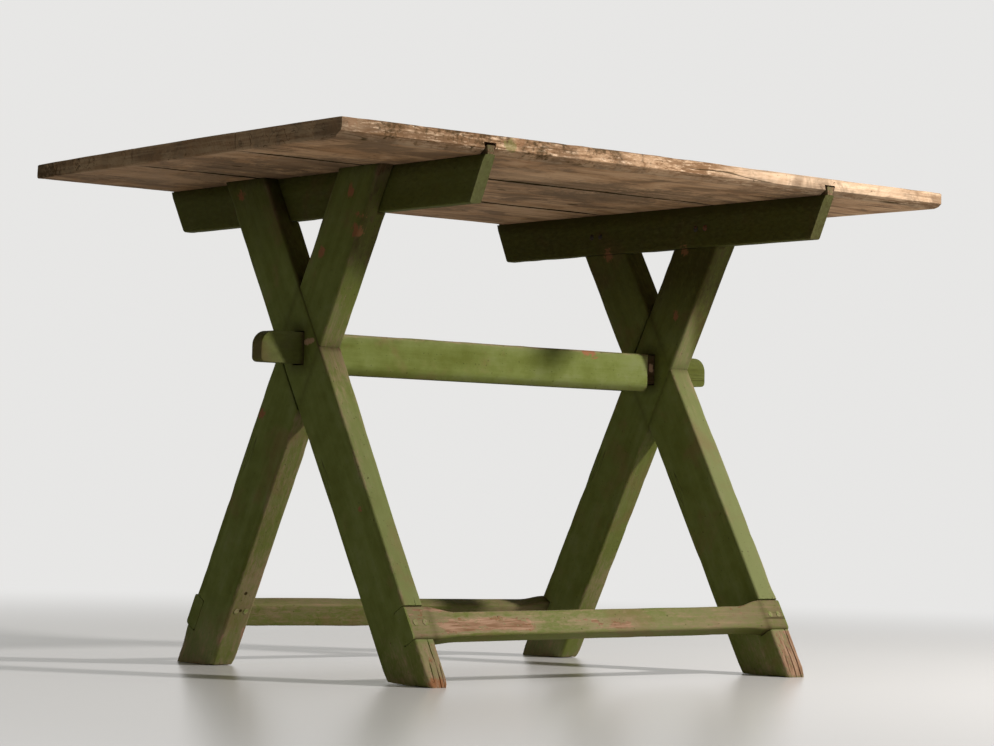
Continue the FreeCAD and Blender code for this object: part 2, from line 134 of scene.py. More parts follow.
class SawbuckSizes(bpy.types.PropertyGroup):
    """Sizes of the pieces that their boxes in the frame don't give"""

    bevel_height: length("Bevel height", "Height of the bevel under the edge of the top", 0.008)
    bevel_reach: length("Bevel reach", "Depth of the bevel under the edge of the top", 0.014)
    top_arris: length("Top arris", "Rounding of the upper edge of the top", 0.0018)
    edge_chip: length("Edge chips", "Depth of long chips in the upper edge of the top", 0.003)
    edge_nick: length("Edge nicks", "Depth of short nicks in the upper edge of the top", 0.0015)
    edge_ragged: length("Ragged edge", "How uneven the edge of the top is", 0.0013)
    end_thinning: length("End thinning", "How far the top is worn down at its left back corner", 0.0060)
    front_thinning: length("Front thinning", "How far the top is worn down at its right front corner", 0.0028)
    corner_round: length("Corner round", "Wear of the four corners of the top, seen from above", 0.003)
    near_corner_round: length("Near corner round", "Wear of the left front corner", 0.0015)
    seam_step: length("Seam step", "How far one plank's underside stands above the next at a seam", 0.0028)
    seam_step_keep: length("Seam step keep", "Half width over a batten where the planks are level", 0.020)
    seam_drop: length("Seam drop", "How far a plank's edges at a seam are worn down", 0.0012)
    seam_open: length("Seam opening", "How far a plank's edges stand back from a seam", 0.0008)
    tongue_neck: length("Tongue neck", "Width of a batten's dovetail tongue at its neck", 0.012)
    tongue_height: length("Tongue height", "Height of a batten's dovetail tongue", 0.015)
    groove_play: length("Groove play", "Open joint round a tongue", 0.0009)
    tongue_shrink: length("Tongue shrinkage", "How far a tongue has dried away from its groove", 0.0028)
    batten_rake: length("Batten rake", "How far the lower corner of a batten's end stands back", 0.030)
    left_back_rake: length("Left back rake", "How much more the left batten's back end is raked", 0.010)
    batten_arris: length("Batten arris", "Wear of a batten's lower edges", 0.003)
    leg_width: length("Leg width", "Width of a leg across its broad face", 0.089)
    leg_arris: length("Leg arris", "Wear of a leg's long edges", 0.0042)
    slim_edge: length("Slim edge", "How much narrower the left front leg is low down", 0.0040)
    slim_face: length("Slim face", "How much thinner the left front leg is low down", 0.0055)
    foot_tuck: length("Foot tuck", "How far the sides of a foot are worn in at the floor", 0.0030)
    foot_lift: length("Foot lift", "How far the rim of a foot is worn off the floor", 0.0018)
    crack_sway: length("Crack sway", "How far a drying crack wanders", 0.0022)
    crack_open: length("Crack opening", "How far the lips of a drying crack stand apart", 0.0004)
    batten_let_in: length("Batten housing", "Depth of the housing for a batten", 0.016)
    housing_wear: length("Housing wear", "Wear of a housing's edges beside the batten", 0.0016)
    tenon_height: length("Tenon height", "Height of the rail's tenon", 0.046)
    tenon_thickness: length("Tenon thickness", "Thickness of the rail's tenon", 0.025)
    mortise_play: length("Mortise play", "Open joint round the rail's tenon", 0.0014)
    rail_thickness: length("Rail thickness", "Thickness of the rail between the trestles", 0.040)
    rail_shoulder: length("Rail shoulder", "Distance of a rail shoulder from the middle", 0.303)
    rail_lower_arris: length("Rail lower arris", "Chamfer under the rail", 0.010)
    rail_upper_arris: length("Rail upper arris", "Wear of the rail's upper edges", 0.004)
    shoulder_round: length("Shoulder round", "Wear of the rail's upright edges at its shoulders", 0.004)
    ear_upper_round: length("Ear upper round", "Round on the upper corner of the rail's ears", 0.022)
    ear_lower_round: length("Ear lower round", "Round on the lower corner of the rail's ears", 0.007)
    ear_arris: length("Ear arris", "Wear of the edges of the rail's tenons and ears", 0.0016)
    stretcher_height: length("Stretcher height", "Height of a foot stretcher in its notches", 0.051)
    stretcher_thickness: length("Stretcher thickness", "Thickness of a foot stretcher", 0.024)
    front_left_seat: length("Front left seat", "Height of that notch's lower edge above the floor", 0.065)
    front_right_seat: length("Front right seat", "Height of that notch's lower edge above the floor", 0.071)
    back_left_seat: length("Back left seat", "Height of that notch's lower edge above the floor", 0.060)
    back_right_seat: length("Back right seat", "Height of that notch's lower edge above the floor", 0.055)
    front_upper_waist: length("Front upper waist", "How far the front stretcher's top dips", 0.009)
    front_lower_waist: length("Front lower waist", "How far the front stretcher's underside rises", 0.003)
    back_upper_waist: length("Back upper waist", "How far the back stretcher's top dips", 0.006)
    back_lower_waist: length("Back lower waist", "How far the back stretcher's underside rises", 0.005)
    stretcher_sweep: length("Sweep", "Length over which a stretcher narrows", 0.048)
    stretcher_arris: length("Stretcher arris", "Wear of a foot stretcher's edges", 0.0045)
    stretcher_sag: length("Stretcher sag", "How uneven the line of a stretcher is", 0.0016)
    back_stretcher_proud: length("Back stretcher proud", "How far it stands out of its notches", 0.003)
    notch_play: length("Notch play", "Open joint above a stretcher's end", 0.0009)
    back_notch_gap: length("Back notch gap", "Open joint behind a back stretcher's end", 0.0012)


class SawbuckColours(bpy.types.PropertyGroup):
    """Colours of the finishes and the light"""

    green: colour("Green paint", "The upper coat", (0.168, 0.198, 0.054))
    deep_green: colour("Deep green", "Thick and dirty paint", (0.112, 0.130, 0.025))
    pale_green: colour("Pale green", "Chalky, rubbed paint", (0.255, 0.270, 0.138))
    olive: colour("Olive", "Paint worn thin over the wood", (0.272, 0.218, 0.118))
    red_coat: colour("Red coat", "The older coat", (0.268, 0.124, 0.056))
    raw_wood: colour("Raw wood", "Bare wood where paint has gone", (0.425, 0.270, 0.175))
    raw_dark: colour("Raw wood grain", "Grain in the bare wood", (0.215, 0.118, 0.064))
    pine: colour("Pine", "Soft spring wood of the top", (0.405, 0.240, 0.127))
    pine_grain: colour("Pine grain", "Hard summer wood of the top", (0.225, 0.126, 0.063))
    pine_edge: colour("Pine edge", "Rubbed wood along the edges of the top", (0.580, 0.386, 0.236))
    # Pale pine also paints a highlight on the edges of the top nearest the lamp.
    pine_pale: colour("Pale pine", "Clean wood at the most handled edge", (0.790, 0.575, 0.385))
    end_grain: colour("End grain", "Grey, dry wood at the ends of the planks", (0.350, 0.260, 0.170))
    # Weathered pine also paints shade on the underside beside the battens.
    weathered_and_shade: colour("Weathered pine", "Grey, dirty end grain and streaks", (0.165, 0.112, 0.070))
    # Grime also paints shade: the dark put for shadow under the top, in gaps and on faces that look down.
    grime_and_shade: colour("Grime", "Dirt in joints, cracks and pores", (0.032, 0.022, 0.006))
    iron: colour("Iron", "Nail heads", (0.040, 0.036, 0.028))
    rust: colour("Rust", "Rust on the nail heads", (0.150, 0.060, 0.028))
    floor: colour("Floor", "Painted floor under the table", (0.730, 0.720, 0.700))
    backdrop: colour("Backdrop", "Background", (0.800, 0.795, 0.785))
    key_light: colour("Key light", "Light of the lamp on the right", (1.0, 0.965, 0.96))
    top_light: colour("Overhead light", "Light of the lamp above", (1.0, 0.98, 0.95))
    even_light: colour("Even light", "Light from all round", (1.0, 0.97, 0.75))


class SawbuckStage(bpy.types.PropertyGroup):
    """The camera and the lamps"""

    eye: bpy.props.FloatVectorProperty(
        name="Eye", description="Place of the camera", default=(-2.7831, -3.4061, 0.2557),
        subtype="TRANSLATION")
    yaw: angle("Yaw", "Turn of the camera from +Y towards +X", 39.350)
    pitch: angle("Pitch", "How far the camera looks up", 2.522)
    roll: angle("Roll", "Roll of the camera", 1.316)
    focal_pixels: bpy.props.FloatProperty(
        name="Focal length in pixels", description="Focal length at the picture's width", default=2891.26)
    key_power: power("Key lamp", "Power of the lamp on the right", 113)
    top_power: power("Overhead lamp", "Power of the lamp above", 10)
    ambient: bpy.props.FloatProperty(
        name="Ambient light", description="Strength of the even light all round", default=0.12,
        subtype="FACTOR", min=0, max=2)


# Solid timber


class Timber:
    """A length of wood, with its middle point, its own directions and the size of its section"""

    def __init__(self, middle, along, across, width, thickness, seed):
        self.middle = Vector(middle)
        self.along = Vector(along).normalized()
        self.across = Vector(across).normalized()
        self.through = self.along.cross(self.across)
        self.width = width
        self.thickness = thickness
        self.seed = seed

    def local(self, point):
        step = point - self.middle
        return Vector((step.dot(self.along), step.dot(self.across), step.dot(self.through)))

    def point(self, along, across, through):
        return self.middle + self.along * along + self.across * across + self.through * through

    def from_arris(self, place):
        across = max(self.width / 2 - abs(place.y), 0)
        through = max(self.thickness / 2 - abs(place.z), 0)
        return across + through

    def ripple(self, place, along, across):
        """Smooth noise from -1 to 1, drawn out along the grain"""
        spot = Vector((place.x * along + self.seed, place.y * across, place.z * across - self.seed))
        return noise.noise(spot)

    def sway(self, place, along):
        """The same noise over the whole section"""
        return self.ripple(Vector((place.x, 0, 0)), along, 1)


def fade(distance, reach):
    """1 at no distance, falling to 0 at reach"""
    return max(0.0, 1 - abs(distance) / reach)


def ramp(distance, reach):
    """0 at no distance or before it, rising to 1 at reach"""
    return min(1, max(0, distance / reach))


def outside(value, low, high):
    """How far a value lies outside a range"""
    return max(0.0, low - value, value - high)


def cut_line(bm, point, normal):
    geometry = bm.verts[:] + bm.edges[:] + bm.faces[:]
    bmesh.ops.bisect_plane(bm, geom=geometry, dist=TOUCH / 10, plane_co=point, plane_no=normal)


def cut_dovetail(bm, centre, foot, half_width, slope):
    """Two cuts that lean outwards as they rise, and the test for what lies between them"""
    for hand in (-1, 1):
        cut_line(bm, Vector((centre + hand * half_width, 0, foot)), Vector((1, 0, -hand * slope)))
    return lambda point: abs(point.x - centre) < half_width + slope * (point.z - foot)


def lay_sheet(bm, corners):
    bm.faces.new([bm.verts.new(corner) for corner in corners])


def lay_front(bm, low, high, y):
    """An upright sheet as large as the front of a box"""
    lay_sheet(bm, [(low.x, y, low.z), (high.x, y, low.z), (high.x, y, high.z), (low.x, y, high.z)])


def take_out(bm, inside):
    gone = [face for face in bm.faces if inside(face.calc_center_median())]
    bmesh.ops.delete(bm, geom=gone, context="FACES")


def grow(bm, faces, step):
    """Thicken these faces by step, and give the faces that close the new layer"""
    made = bmesh.ops.extrude_face_region(bm, geom=faces)["geom"]
    bmesh.ops.translate(bm, vec=step, verts=[item for item in made if isinstance(item, bmesh.types.BMVert)])
    return [item for item in made if isinstance(item, bmesh.types.BMFace)]


def faces_at(bm, distance):
    """The faces whose corners all lie at no distance"""
    return [face for face in bm.faces if all(abs(distance(vert.co)) < TOUCH for vert in face.verts)]


def edges_at(bm, *distances):
    """The edges whose ends both lie at no distance, by each of these measures"""
    return [edge for edge in bm.edges
            if all(abs(distance(vert.co)) < TOUCH for vert in edge.verts for distance in distances)]


def runs_along(edge, axis):
    first, second = edge.verts
    return abs((first.co - second.co).normalized().dot(axis)) > PARALLEL


def round_edges(bm, edges, offset, segments):
    bmesh.ops.bevel(bm, geom=edges, offset=offset, segments=segments, profile=0.5, affect="EDGES",
                    material=-1, clamp_overlap=False)


def slice_up(bm, timber, kind, along=(), across=(), through=()):
    """Even cuts over all faces, and cuts at the given stations, so that wear has points to move"""
    places = [timber.local(vert.co) for vert in bm.verts]
    directions = (timber.along, timber.across, timber.through)
    for axis, (spacing, direction, given) in enumerate(zip(CUTS[kind], directions, (along, across, through))):
        low = min(place[axis] for place in places)
        high = max(place[axis] for place in places)
        count = max(1, round((high - low) / spacing))
        stations = [low + (high - low) * (number + 0.5) / count for number in range(count)]
        for station in (*stations, *given):
            cut_line(bm, timber.middle + direction * station, direction)


def dress(bm, timber, kind, wear_at, ring_shift=(0, 0, 0), calm=None):
    """Plane marks and knocked edges, and the grain, wear, dirt and painted shade that the finishes read"""
    grain = bm.verts.layers.float_vector.new("grain")
    wear = bm.verts.layers.float.new("wear")
    grime_and_shade = bm.verts.layers.float.new("grime_and_shade")
    chalk = bm.verts.layers.float.new("chalk")
    bmesh.ops.recalc_face_normals(bm, faces=bm.faces)
    bm.normal_update()
    wave, knock = MARKS[kind]
    shift = Vector(ring_shift)
    moves = []
    for vert in bm.verts:
        place = timber.local(vert.co)
        arris = timber.from_arris(place)
        vert[grain] = place + shift
        vert[wear], vert[grime_and_shade], vert[chalk] = wear_at(vert.co, place, arris)
        depth = wave * (0.5 + 0.5 * timber.ripple(place, 4, 14))
        chip = max(0.0, timber.ripple(place, 34, 12) - 0.05) + 0.5 * max(0.0, timber.ripple(place, 9, 5))
        depth += knock * chip * fade(arris, KNOCK_REACH)
        if calm:
            depth *= 1 - calm(place)
        moves.append((vert, vert.normal * depth))
    for vert, move in moves:
        vert.co -= move


def settle(bm, node, slot):
    """The finished piece in the place of its node"""
    bmesh.ops.remove_doubles(bm, verts=bm.verts, dist=TOUCH)
    bmesh.ops.recalc_face_normals(bm, faces=bm.faces)
    mesh = bpy.data.meshes.new(node + "_worn")
    bm.to_mesh(mesh)
    bm.free()
    mesh.polygons.foreach_set("use_smooth", [True] * len(mesh.polygons))
    mesh.set_sharp_from_angle(angle=SHARP_ANGLE)
    mesh.materials.append(finish_for(slot))
    piece = bpy.data.objects.new(node + "_worn", mesh)
    bpy.context.scene.collection.objects.link(piece)
    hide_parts(node)
    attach(piece, "root")


# Finishes


class Flow:
    """A value in a finish; arithmetic on it adds Math nodes"""

    def __init__(self, finish, socket):
        self.finish = finish
        self.socket = socket

    def __add__(self, other):
        return self.finish.math("ADD", self, other)

    def __sub__(self, other):
        return self.finish.math("SUBTRACT", self, other)

    def __rsub__(self, other):
        return self.finish.math("SUBTRACT", other, self)

    def __mul__(self, other):
        return self.finish.math("MULTIPLY", self, other)

    __radd__ = __add__
    __rmul__ = __mul__


class Finish:
    """The nodes of a material or a world"""

    def __init__(self, owner):
        self.owner = owner
        owner.use_nodes = True
        self.tree = owner.node_tree
        self.tree.nodes.clear()

    def add(self, kind, inputs, output=0, **settings):
        node = self.tree.nodes.new(kind)
        for name, setting in settings.items():
            setattr(node, name, setting)
        for key, given in inputs.items():
            if isinstance(given, Flow):
                self.tree.links.new(given.socket, node.inputs[key])
            else:
                node.inputs[key].default_value = given
        return Flow(self, node.outputs[output])

    def math(self, operation, *terms):
        return self.add("ShaderNodeMath", dict(enumerate(terms)), operation=operation)

    def vector_math(self, operation, *terms, output):
        return self.add("ShaderNodeVectorMath", dict(enumerate(terms)), output, operation=operation)

    def read_wear(self):
        """The grain and the three amounts that dress has written, and the place in metres"""
        grain = self.add("ShaderNodeAttribute", {}, "Vector", attribute_name="grain")
        amounts = [self.add("ShaderNodeAttribute", {}, "Fac", attribute_name=name)
                   for name in ("wear", "grime_and_shade", "chalk")]
        return grain, *amounts, self.places()

    def places(self):
        return self.add("ShaderNodeTexCoord", {}, "Object")

    def stretch(self, vector, scales):
        return self.vector_math("MULTIPLY", vector, scales, output="Vector")

    def length(self, vector):
        return self.vector_math("LENGTH", vector, output="Value")

    def distance(self, vector, centre):
        return self.vector_math("DISTANCE", vector, centre, output="Value")

    def cloud(self, vector, scales, detail, roughness, distortion=0):
        return self.add("ShaderNodeTexNoise", {
            "Vector": self.stretch(vector, scales), "Scale": 1, "Detail": detail, "Roughness": roughness,
            "Distortion": distortion})

    def step(self, value, low, high):
        return self.add("ShaderNodeMapRange", {"Value": value, "From Min": low, "From Max": high},
                        interpolation_type="SMOOTHSTEP")

    def clamp(self, value):
        return self.add("ShaderNodeClamp", {"Value": value})

    def most(self, values):
        return functools.reduce(lambda first, second: self.math("MAXIMUM", first, second), values)

    def mix(self, share, first, second):
        """Two colours, each from nodes or plain red, green and blue"""
        ends = [end if isinstance(end, Flow) else (*end, 1) for end in (first, second)]
        return self.add("ShaderNodeMix", {0: share, 6: ends[0], 7: ends[1]}, 2, data_type="RGBA")

    def coats(self, base, *coats):
        """Coats over a colour, each with the share that it covers"""
        return functools.reduce(lambda under, coat: self.mix(coat[0], under, coat[1]), coats, base)

    def spot(self, places, centre, reach, tear):
        """1 within reach of a place, with a torn edge"""
        return self.step(self.distance(places, centre) + tear * reach, reach, reach * 0.6)

    def bump(self, height, strength, distance):
        return self.add("ShaderNodeBump", {"Height": height, "Strength": strength, "Distance": distance})

    def surface(self, **inputs):
        named = {key.replace("_", " "): given for key, given in inputs.items()}
        self.end("ShaderNodeOutputMaterial", self.add("ShaderNodeBsdfPrincipled", named))

    def end(self, kind, shader):
        output = self.tree.nodes.new(kind)
        self.tree.links.new(shader.socket, output.inputs["Surface"])


# Planes that marks lie on, in metres: the outer face of the left legs, the inner face of the right ones,
# and faces of the top
LEFT_FACE = -0.362
RIGHT_FACE = 0.322
UNDERSIDE = 0.723
UPPER_FACE = 0.750
FRONT_EDGE = -0.387
LEFT_END = -0.5775

# Chips down to the red coat: place in metres and reach
RED_CHIPS = (
    ((LEFT_FACE, 0.156, 0.698), 0.009),
    ((LEFT_FACE, -0.118, 0.690), 0.009),
    ((-0.360, -0.131, 0.630), 0.010),
    ((-0.356, -0.140, 0.655), 0.008),
    ((LEFT_FACE, -0.050, 0.605), 0.007),
    ((LEFT_FACE, 0.089, 0.375), 0.010),
    ((LEFT_FACE, -0.1582, 0.2407), 0.006),
    ((-0.350, -0.318, 0.006), 0.009),
    ((-0.338, -0.321, 0.005), 0.009),
    ((-0.327, -0.321, 0.006), 0.009),
    ((RIGHT_FACE, -0.060, 0.5545), 0.0075),
    ((RIGHT_FACE, -0.079, 0.6555), 0.011),
    ((RIGHT_FACE, 0.101, 0.656), 0.012),
    ((0.172, -0.0185, 0.4900), 0.008),
    ((0.186, -0.0185, 0.4895), 0.009),
)

# Splinters of pale wood beside the mortises: place in metres and reach
SPLINTERS = (
    ((LEFT_FACE, -0.0180, 0.4770), 0.0052),
    ((LEFT_FACE, -0.0240, 0.4778), 0.0050),
    ((LEFT_FACE, -0.0300, 0.4784), 0.0048),
    ((LEFT_FACE, -0.0350, 0.4790), 0.0040),
    ((0.3160, -0.0125, 0.4730), 0.0055),
    ((0.3170, -0.0125, 0.4680), 0.0055),
)

# Old nail and worm holes in the painted wood: place in metres and reach
HOLES = (
    ((-0.3438, 0.1427, 0.1095), 0.0038),
    ((-0.3431, 0.1568, 0.0833), 0.0036),
    ((0.3510, -0.2840, 0.0870), 0.0034),
)


def painted_finish(finish, colours):
    """Green paint over an older red coat over pine, worn by use"""
    cloud, step, clamp, mix, spot = finish.cloud, finish.step, finish.clamp, finish.mix, finish.spot
    grain, worn_by_use, joint_dirt_and_shade, chalk_and_painted_light, places = finish.read_wear()

    runs = cloud(grain, (2.6, 80, 80), 4, 0.6)
    patches = cloud(grain, (6, 22, 22), 3, 0.6)
    streaks = cloud(grain, (15, 220, 220), 4, 0.65)
    fibres = cloud(grain, (40, 900, 900), 2, 0.5)
    flakes = cloud(grain, (85, 200, 200), 5, 0.66, 0.5)
    mottle = cloud(places, (34, 34, 34), 5, 0.6)

    broken = worn_by_use * 1.1 + 0.35
    worn = worn_by_use + (patches - 0.5) * broken + (flakes - 0.5) * (broken + 0.30) + (streaks - 0.5) * 0.30
    thin = step(worn, 0.18, 0.70)
    bare = step(worn, 0.74, 0.81)
    red = step(worn, 0.66, 0.70) * step(mottle, 0.56, 0.64)
    tear = (flakes - 0.5) * 3.5 + (mottle - 0.5) * 2.5
    spots = finish.most(spot(places, centre, reach, tear) for centre, reach in RED_CHIPS)
    chipped = finish.most((red, spots))

    depth = step(runs * 0.25 + patches * 0.35 + mottle * 0.40, 0.34, 0.62)
    chalk = step(streaks * 0.15 + patches * 0.50 + mottle * 0.35, 0.50, 0.70) * 0.36
    olive = mix(step(streaks, 0.45, 0.75) * 0.6, colours.olive, colours.raw_wood)
    wood = mix(step(streaks * 0.6 + fibres * 0.4, 0.38, 0.60), colours.raw_dark, colours.raw_wood)
    stain = step(cloud(places, (10, 10, 10), 5, 0.66, 0.4), 0.53, 0.68)
    lines = cloud(grain, (1.4, 50, 50), 2, 0.5)
    hair = step(lines, 0.509, 0.503) * step(lines, 0.492, 0.498)
    hair = hair * step(cloud(grain, (4, 9, 9), 1, 0.5), 0.62, 0.69)
    specks = step(cloud(places, (260, 260, 260), 1, 0.5), 0.71, 0.77)
    clots = joint_dirt_and_shade * (flakes - 0.5) * 0.9
    # This dirt includes painted shade: the dark under the top, in gaps and on faces that look down.
    dirt_and_shade = clamp(joint_dirt_and_shade + clots + (patches - 0.55) * 0.35 + (mottle - 0.5) * 0.35)
    base = finish.coats(
        colours.deep_green,
        (depth, colours.green),
        # Chalky paint, and paler paint that stands for light on a leg below its painted shadow
        (clamp(chalk + chalk_and_painted_light), colours.pale_green),
        (thin * 0.85, olive),
        (red, colours.red_coat),
        (bare, wood),
        (spots, colours.red_coat),
        (stain * 0.34, colours.raw_dark),
        (dirt_and_shade * (0.86 - spots * 0.45), colours.grime_and_shade),
        (clamp(specks * 0.55 + hair * 0.7), colours.grime_and_shade),
        *((spot(places, centre, reach, tear * 0.4) * 0.80, colours.raw_wood) for centre, reach in SPLINTERS),
        *((spot(places, centre, reach, (mottle - 0.5) * 1.5) * 0.95, colours.grime_and_shade)
          for centre, reach in HOLES))

    relief = streaks * 0.35 + flakes * 0.3 + fibres * 0.15
    relief = relief - bare * 0.45 - chipped * 0.25 - specks * 0.4 - hair * 0.5
    finish.surface(Base_Color=base, Roughness=0.48 + bare * 0.34 + dirt_and_shade * 0.15 + (mottle - 0.5) * 0.2,
                   Specular_IOR_Level=0.018, Normal=finish.bump(relief, 0.55, 0.0009))


# Knots in the top: place in metres and reach
KNOTS = (
    ((-0.031, -0.051, UNDERSIDE), 0.007),
    ((0.179, 0.028, UNDERSIDE), 0.010),
    ((0.235, -0.225, UNDERSIDE), 0.006),
    ((-0.470, 0.010, UNDERSIDE), 0.008),
    ((-0.090, 0.245, UNDERSIDE), 0.010),
    ((0.455, -0.200, UNDERSIDE), 0.008),
    ((-0.330, -0.290, UPPER_FACE), 0.014),
    ((0.180, -0.230, UPPER_FACE), 0.011),
    ((-0.140, 0.040, UPPER_FACE), 0.015),
    ((0.400, -0.045, UPPER_FACE), 0.012),
    ((-0.410, 0.260, UPPER_FACE), 0.013),
    ((0.255, 0.310, UPPER_FACE), 0.010),
)
KNOT_STRETCH = 1.5
RINGS_PER_METRE = 210

# Marks of old paint and dirt on the top, and painted shade on the underside beside the battens: place in
# metres, reach, colour and strength
PAINT_DIRT_AND_SHADE_MARKS = (
    ((0.019, -0.155, UNDERSIDE), 0.100, "weathered_and_shade", 0.60),
    ((0.153, -0.101, UNDERSIDE), 0.110, "weathered_and_shade", 0.58),
    ((0.191, -0.172, UNDERSIDE), 0.090, "weathered_and_shade", 0.45),
    # Painted shade with dirt, beside the left batten and the leg tops
    ((-0.429, -0.086, UNDERSIDE), 0.110, "weathered_and_shade", 0.55),
    ((-0.461, 0.029, UNDERSIDE), 0.100, "weathered_and_shade", 0.50),
    ((-0.436, -0.327, UNDERSIDE), 0.080, "weathered_and_shade", 0.25),
    ((-0.485, 0.217, UNDERSIDE), 0.110, "pine_edge", 0.30),
    ((-0.132, -0.237, UNDERSIDE), 0.090, "pine_edge", 0.30),
    # Painted shade with dirt, beside the right batten's front end
    ((0.330, -0.330, UNDERSIDE), 0.060, "weathered_and_shade", 0.80),
    ((-0.294, FRONT_EDGE, 0.7380), 0.010, "green", 0.55),
    ((-0.2765, FRONT_EDGE, 0.7450), 0.007, "red_coat", 0.40),
    ((-0.563, FRONT_EDGE, 0.7480), 0.013, "red_coat", 0.60),
    ((LEFT_END, -0.1296, 0.7390), 0.018, "red_coat", 0.45),
    ((LEFT_END, -0.0436, 0.7321), 0.015, "red_coat", 0.45),
)


def pine_finish(finish, colours):
    """Old stripped pine: growth rings, knots, cracks and the dirt of use"""
    cloud, step, clamp, spot = finish.cloud, finish.step, finish.clamp, finish.spot
    grain, rubbed_and_lit, end_dirt_and_shade, crust_and_darkening, places = finish.read_wear()

    flat = finish.stretch(places, (1, KNOT_STRETCH, 1))
    knot = finish.most(step(finish.distance(flat, (x, y * KNOT_STRETCH, z)), reach * 3.2, 0)
                       for (x, y, z), reach in KNOTS)
    sway = cloud(grain, (2.2, 7, 7), 2, 0.5)
    waver = cloud(grain, (9, 40, 40), 2, 0.5)
    radius = finish.length(finish.stretch(grain, (0.030, 1, 1)))
    rings = radius + (sway - 0.5) * 0.030 + (waver - 0.5) * 0.0035 + knot * 0.012
    turn = finish.math("FRACT", rings * RINGS_PER_METRE)
    late = step(turn, 0.30, 0.88) * step(turn, 1.0, 0.90)

    streaks = cloud(grain, (2.4, 62, 62), 5, 0.62)
    bands = cloud(grain, (1.5, 20, 20), 3, 0.55, 0.3)
    fibres = cloud(grain, (26, 700, 700), 3, 0.6)
    stains = cloud(grain, (4, 14, 14), 4, 0.6, 0.6)
    blotches = cloud(places, (24, 24, 24), 5, 0.62)
    dust = cloud(places, (150, 150, 150), 4, 0.6)
    broad = cloud(places, (9, 15, 9), 5, 0.68, 0.5)
    under = step(finish.add("ShaderNodeSeparateXYZ", {0: places}, "Z"), 0.749, 0.738)
    cloudy = under * 0.45 + 0.28

    smear = step(streaks + (bands - 0.5) * 0.5 + (stains - 0.5) * 0.3, 0.51, 0.70)
    flush = step(blotches + (stains - 0.5) * 0.5, 0.56, 0.80)
    knocks = cloud(grain, (11, 95, 130), 5, 0.66, 0.5) + (stains - 0.5) * 0.7
    bruise = step(knocks, 0.50, 0.60) * step(rubbed_and_lit, 0.20, 0.50) * step(rubbed_and_lit, 1.6, 0.9)
    splinters = cloud(grain, (48, 330, 330), 5, 0.74)
    handled = step(rubbed_and_lit, 0.20, 0.45) * (1 - step(rubbed_and_lit, 0.80, 1.25) * 0.70)
    torn = step(splinters + (stains - 0.5) * 0.35 - rubbed_and_lit * 0.03, 0.475, 0.56) * handled
    fleck = step(splinters, 0.455, 0.37) * handled
    heart = step(knot + (dust - 0.5) * 0.15, 0.66, 0.86)
    shakes = cloud(grain, (1.5, 40, 40), 2, 0.5)
    crack = step(shakes, 0.508, 0.502) * step(shakes, 0.492, 0.498)
    crack = crack * step(cloud(grain, (3.5, 8, 8), 1, 0.5), 0.50, 0.58)
    bedding = cloud(places, (40, 9, 170), 5, 0.65)
    dry = finish.coats(
        colours.weathered_and_shade,
        (step(bedding, 0.44, 0.55), colours.end_grain),
        (step(blotches, 0.52, 0.66) * 0.45, colours.pine))
    # The dirt read here includes painted shade on the bevel under the edge.
    grey = clamp(end_dirt_and_shade + (bedding - 0.5) * 0.7 * end_dirt_and_shade + (blotches - 0.5) * 0.6 * end_dirt_and_shade)
    specks = step(dust + (rubbed_and_lit * 0.02), 0.675, 0.73)
    packed = step(end_dirt_and_shade + (dust - 0.5) * 0.6, 1.0, 1.35)
    # Dark crust, and the left end darker towards the back
    scab = step(crust_and_darkening + (dust - 0.5) * 1.2 + (blotches - 0.5) * 1.2, 0.28, 0.60)

    tear = (dust - 0.5) * 2.5 + (blotches - 0.5) * 3
    marks = []
    for centre, reach, coat, strength in PAINT_DIRT_AND_SHADE_MARKS:
        mark = spot(places, centre, reach, tear)
        if centre[2] == UNDERSIDE:
            mark = mark * under
        marks.append((mark * strength, getattr(colours, coat)))
    base = finish.coats(
        colours.pine,
        (step(bands, 0.40, 0.60) * 0.46, colours.pine_edge),
        # Rubbed wood, with a painted highlight where the edges are nearest the lamp
        (step(rubbed_and_lit, 0.20, 0.90), colours.pine_edge),
        (step(rubbed_and_lit, 0.90, 1.45), colours.pine_pale),
        (step(broad, 0.50, 0.62) * cloudy, colours.pine_edge),
        (step(broad, 0.52, 0.40) * cloudy, colours.weathered_and_shade),
        (late * 0.24, colours.pine_grain),
        (step(fibres, 0.50, 0.80) * 0.22, colours.pine_grain),
        (smear * 0.62, colours.weathered_and_shade),
        (flush * 0.34, colours.red_coat),
        (bruise * 0.60, colours.pine_grain),
        (torn * 0.92, colours.pine_grain),
        (fleck * 0.90, colours.pine_pale),
        *marks,
        (heart * 0.85, colours.grime_and_shade),
        (grey * 0.85, dry),
        (clamp(crack * 0.8 + specks * 0.75 + packed * 0.95 + scab * 0.70), colours.grime_and_shade))

    relief = late * 0.35 + fibres * 0.35 + dust * 0.35 - crack * 0.9 - specks * 0.5 - bruise * 0.4
    finish.surface(Base_Color=base, Roughness=0.66 + smear * 0.12 + late * -0.08 + (dust - 0.5) * 0.16,
                   Specular_IOR_Level=0.018, Normal=finish.bump(relief, 0.6, 0.0010))


def peg_finish(finish, colours):
    """Ends of split wooden pegs, painted over with the stretchers and rubbed"""
    places = finish.places()
    mottle = finish.cloud(places, (160, 160, 160), 4, 0.6)
    flecks = finish.cloud(places, (420, 420, 420), 3, 0.6)
    base = finish.coats(
        colours.green,
        (finish.step(mottle, 0.35, 0.65), colours.olive),
        (finish.step(flecks, 0.52, 0.68) * 0.55, colours.grime_and_shade))
    finish.surface(Base_Color=base, Roughness=0.6 + mottle * 0.3, Specular_IOR_Level=0.12,
                   Normal=finish.bump(mottle + flecks * 0.5, 0.5, 0.0006))


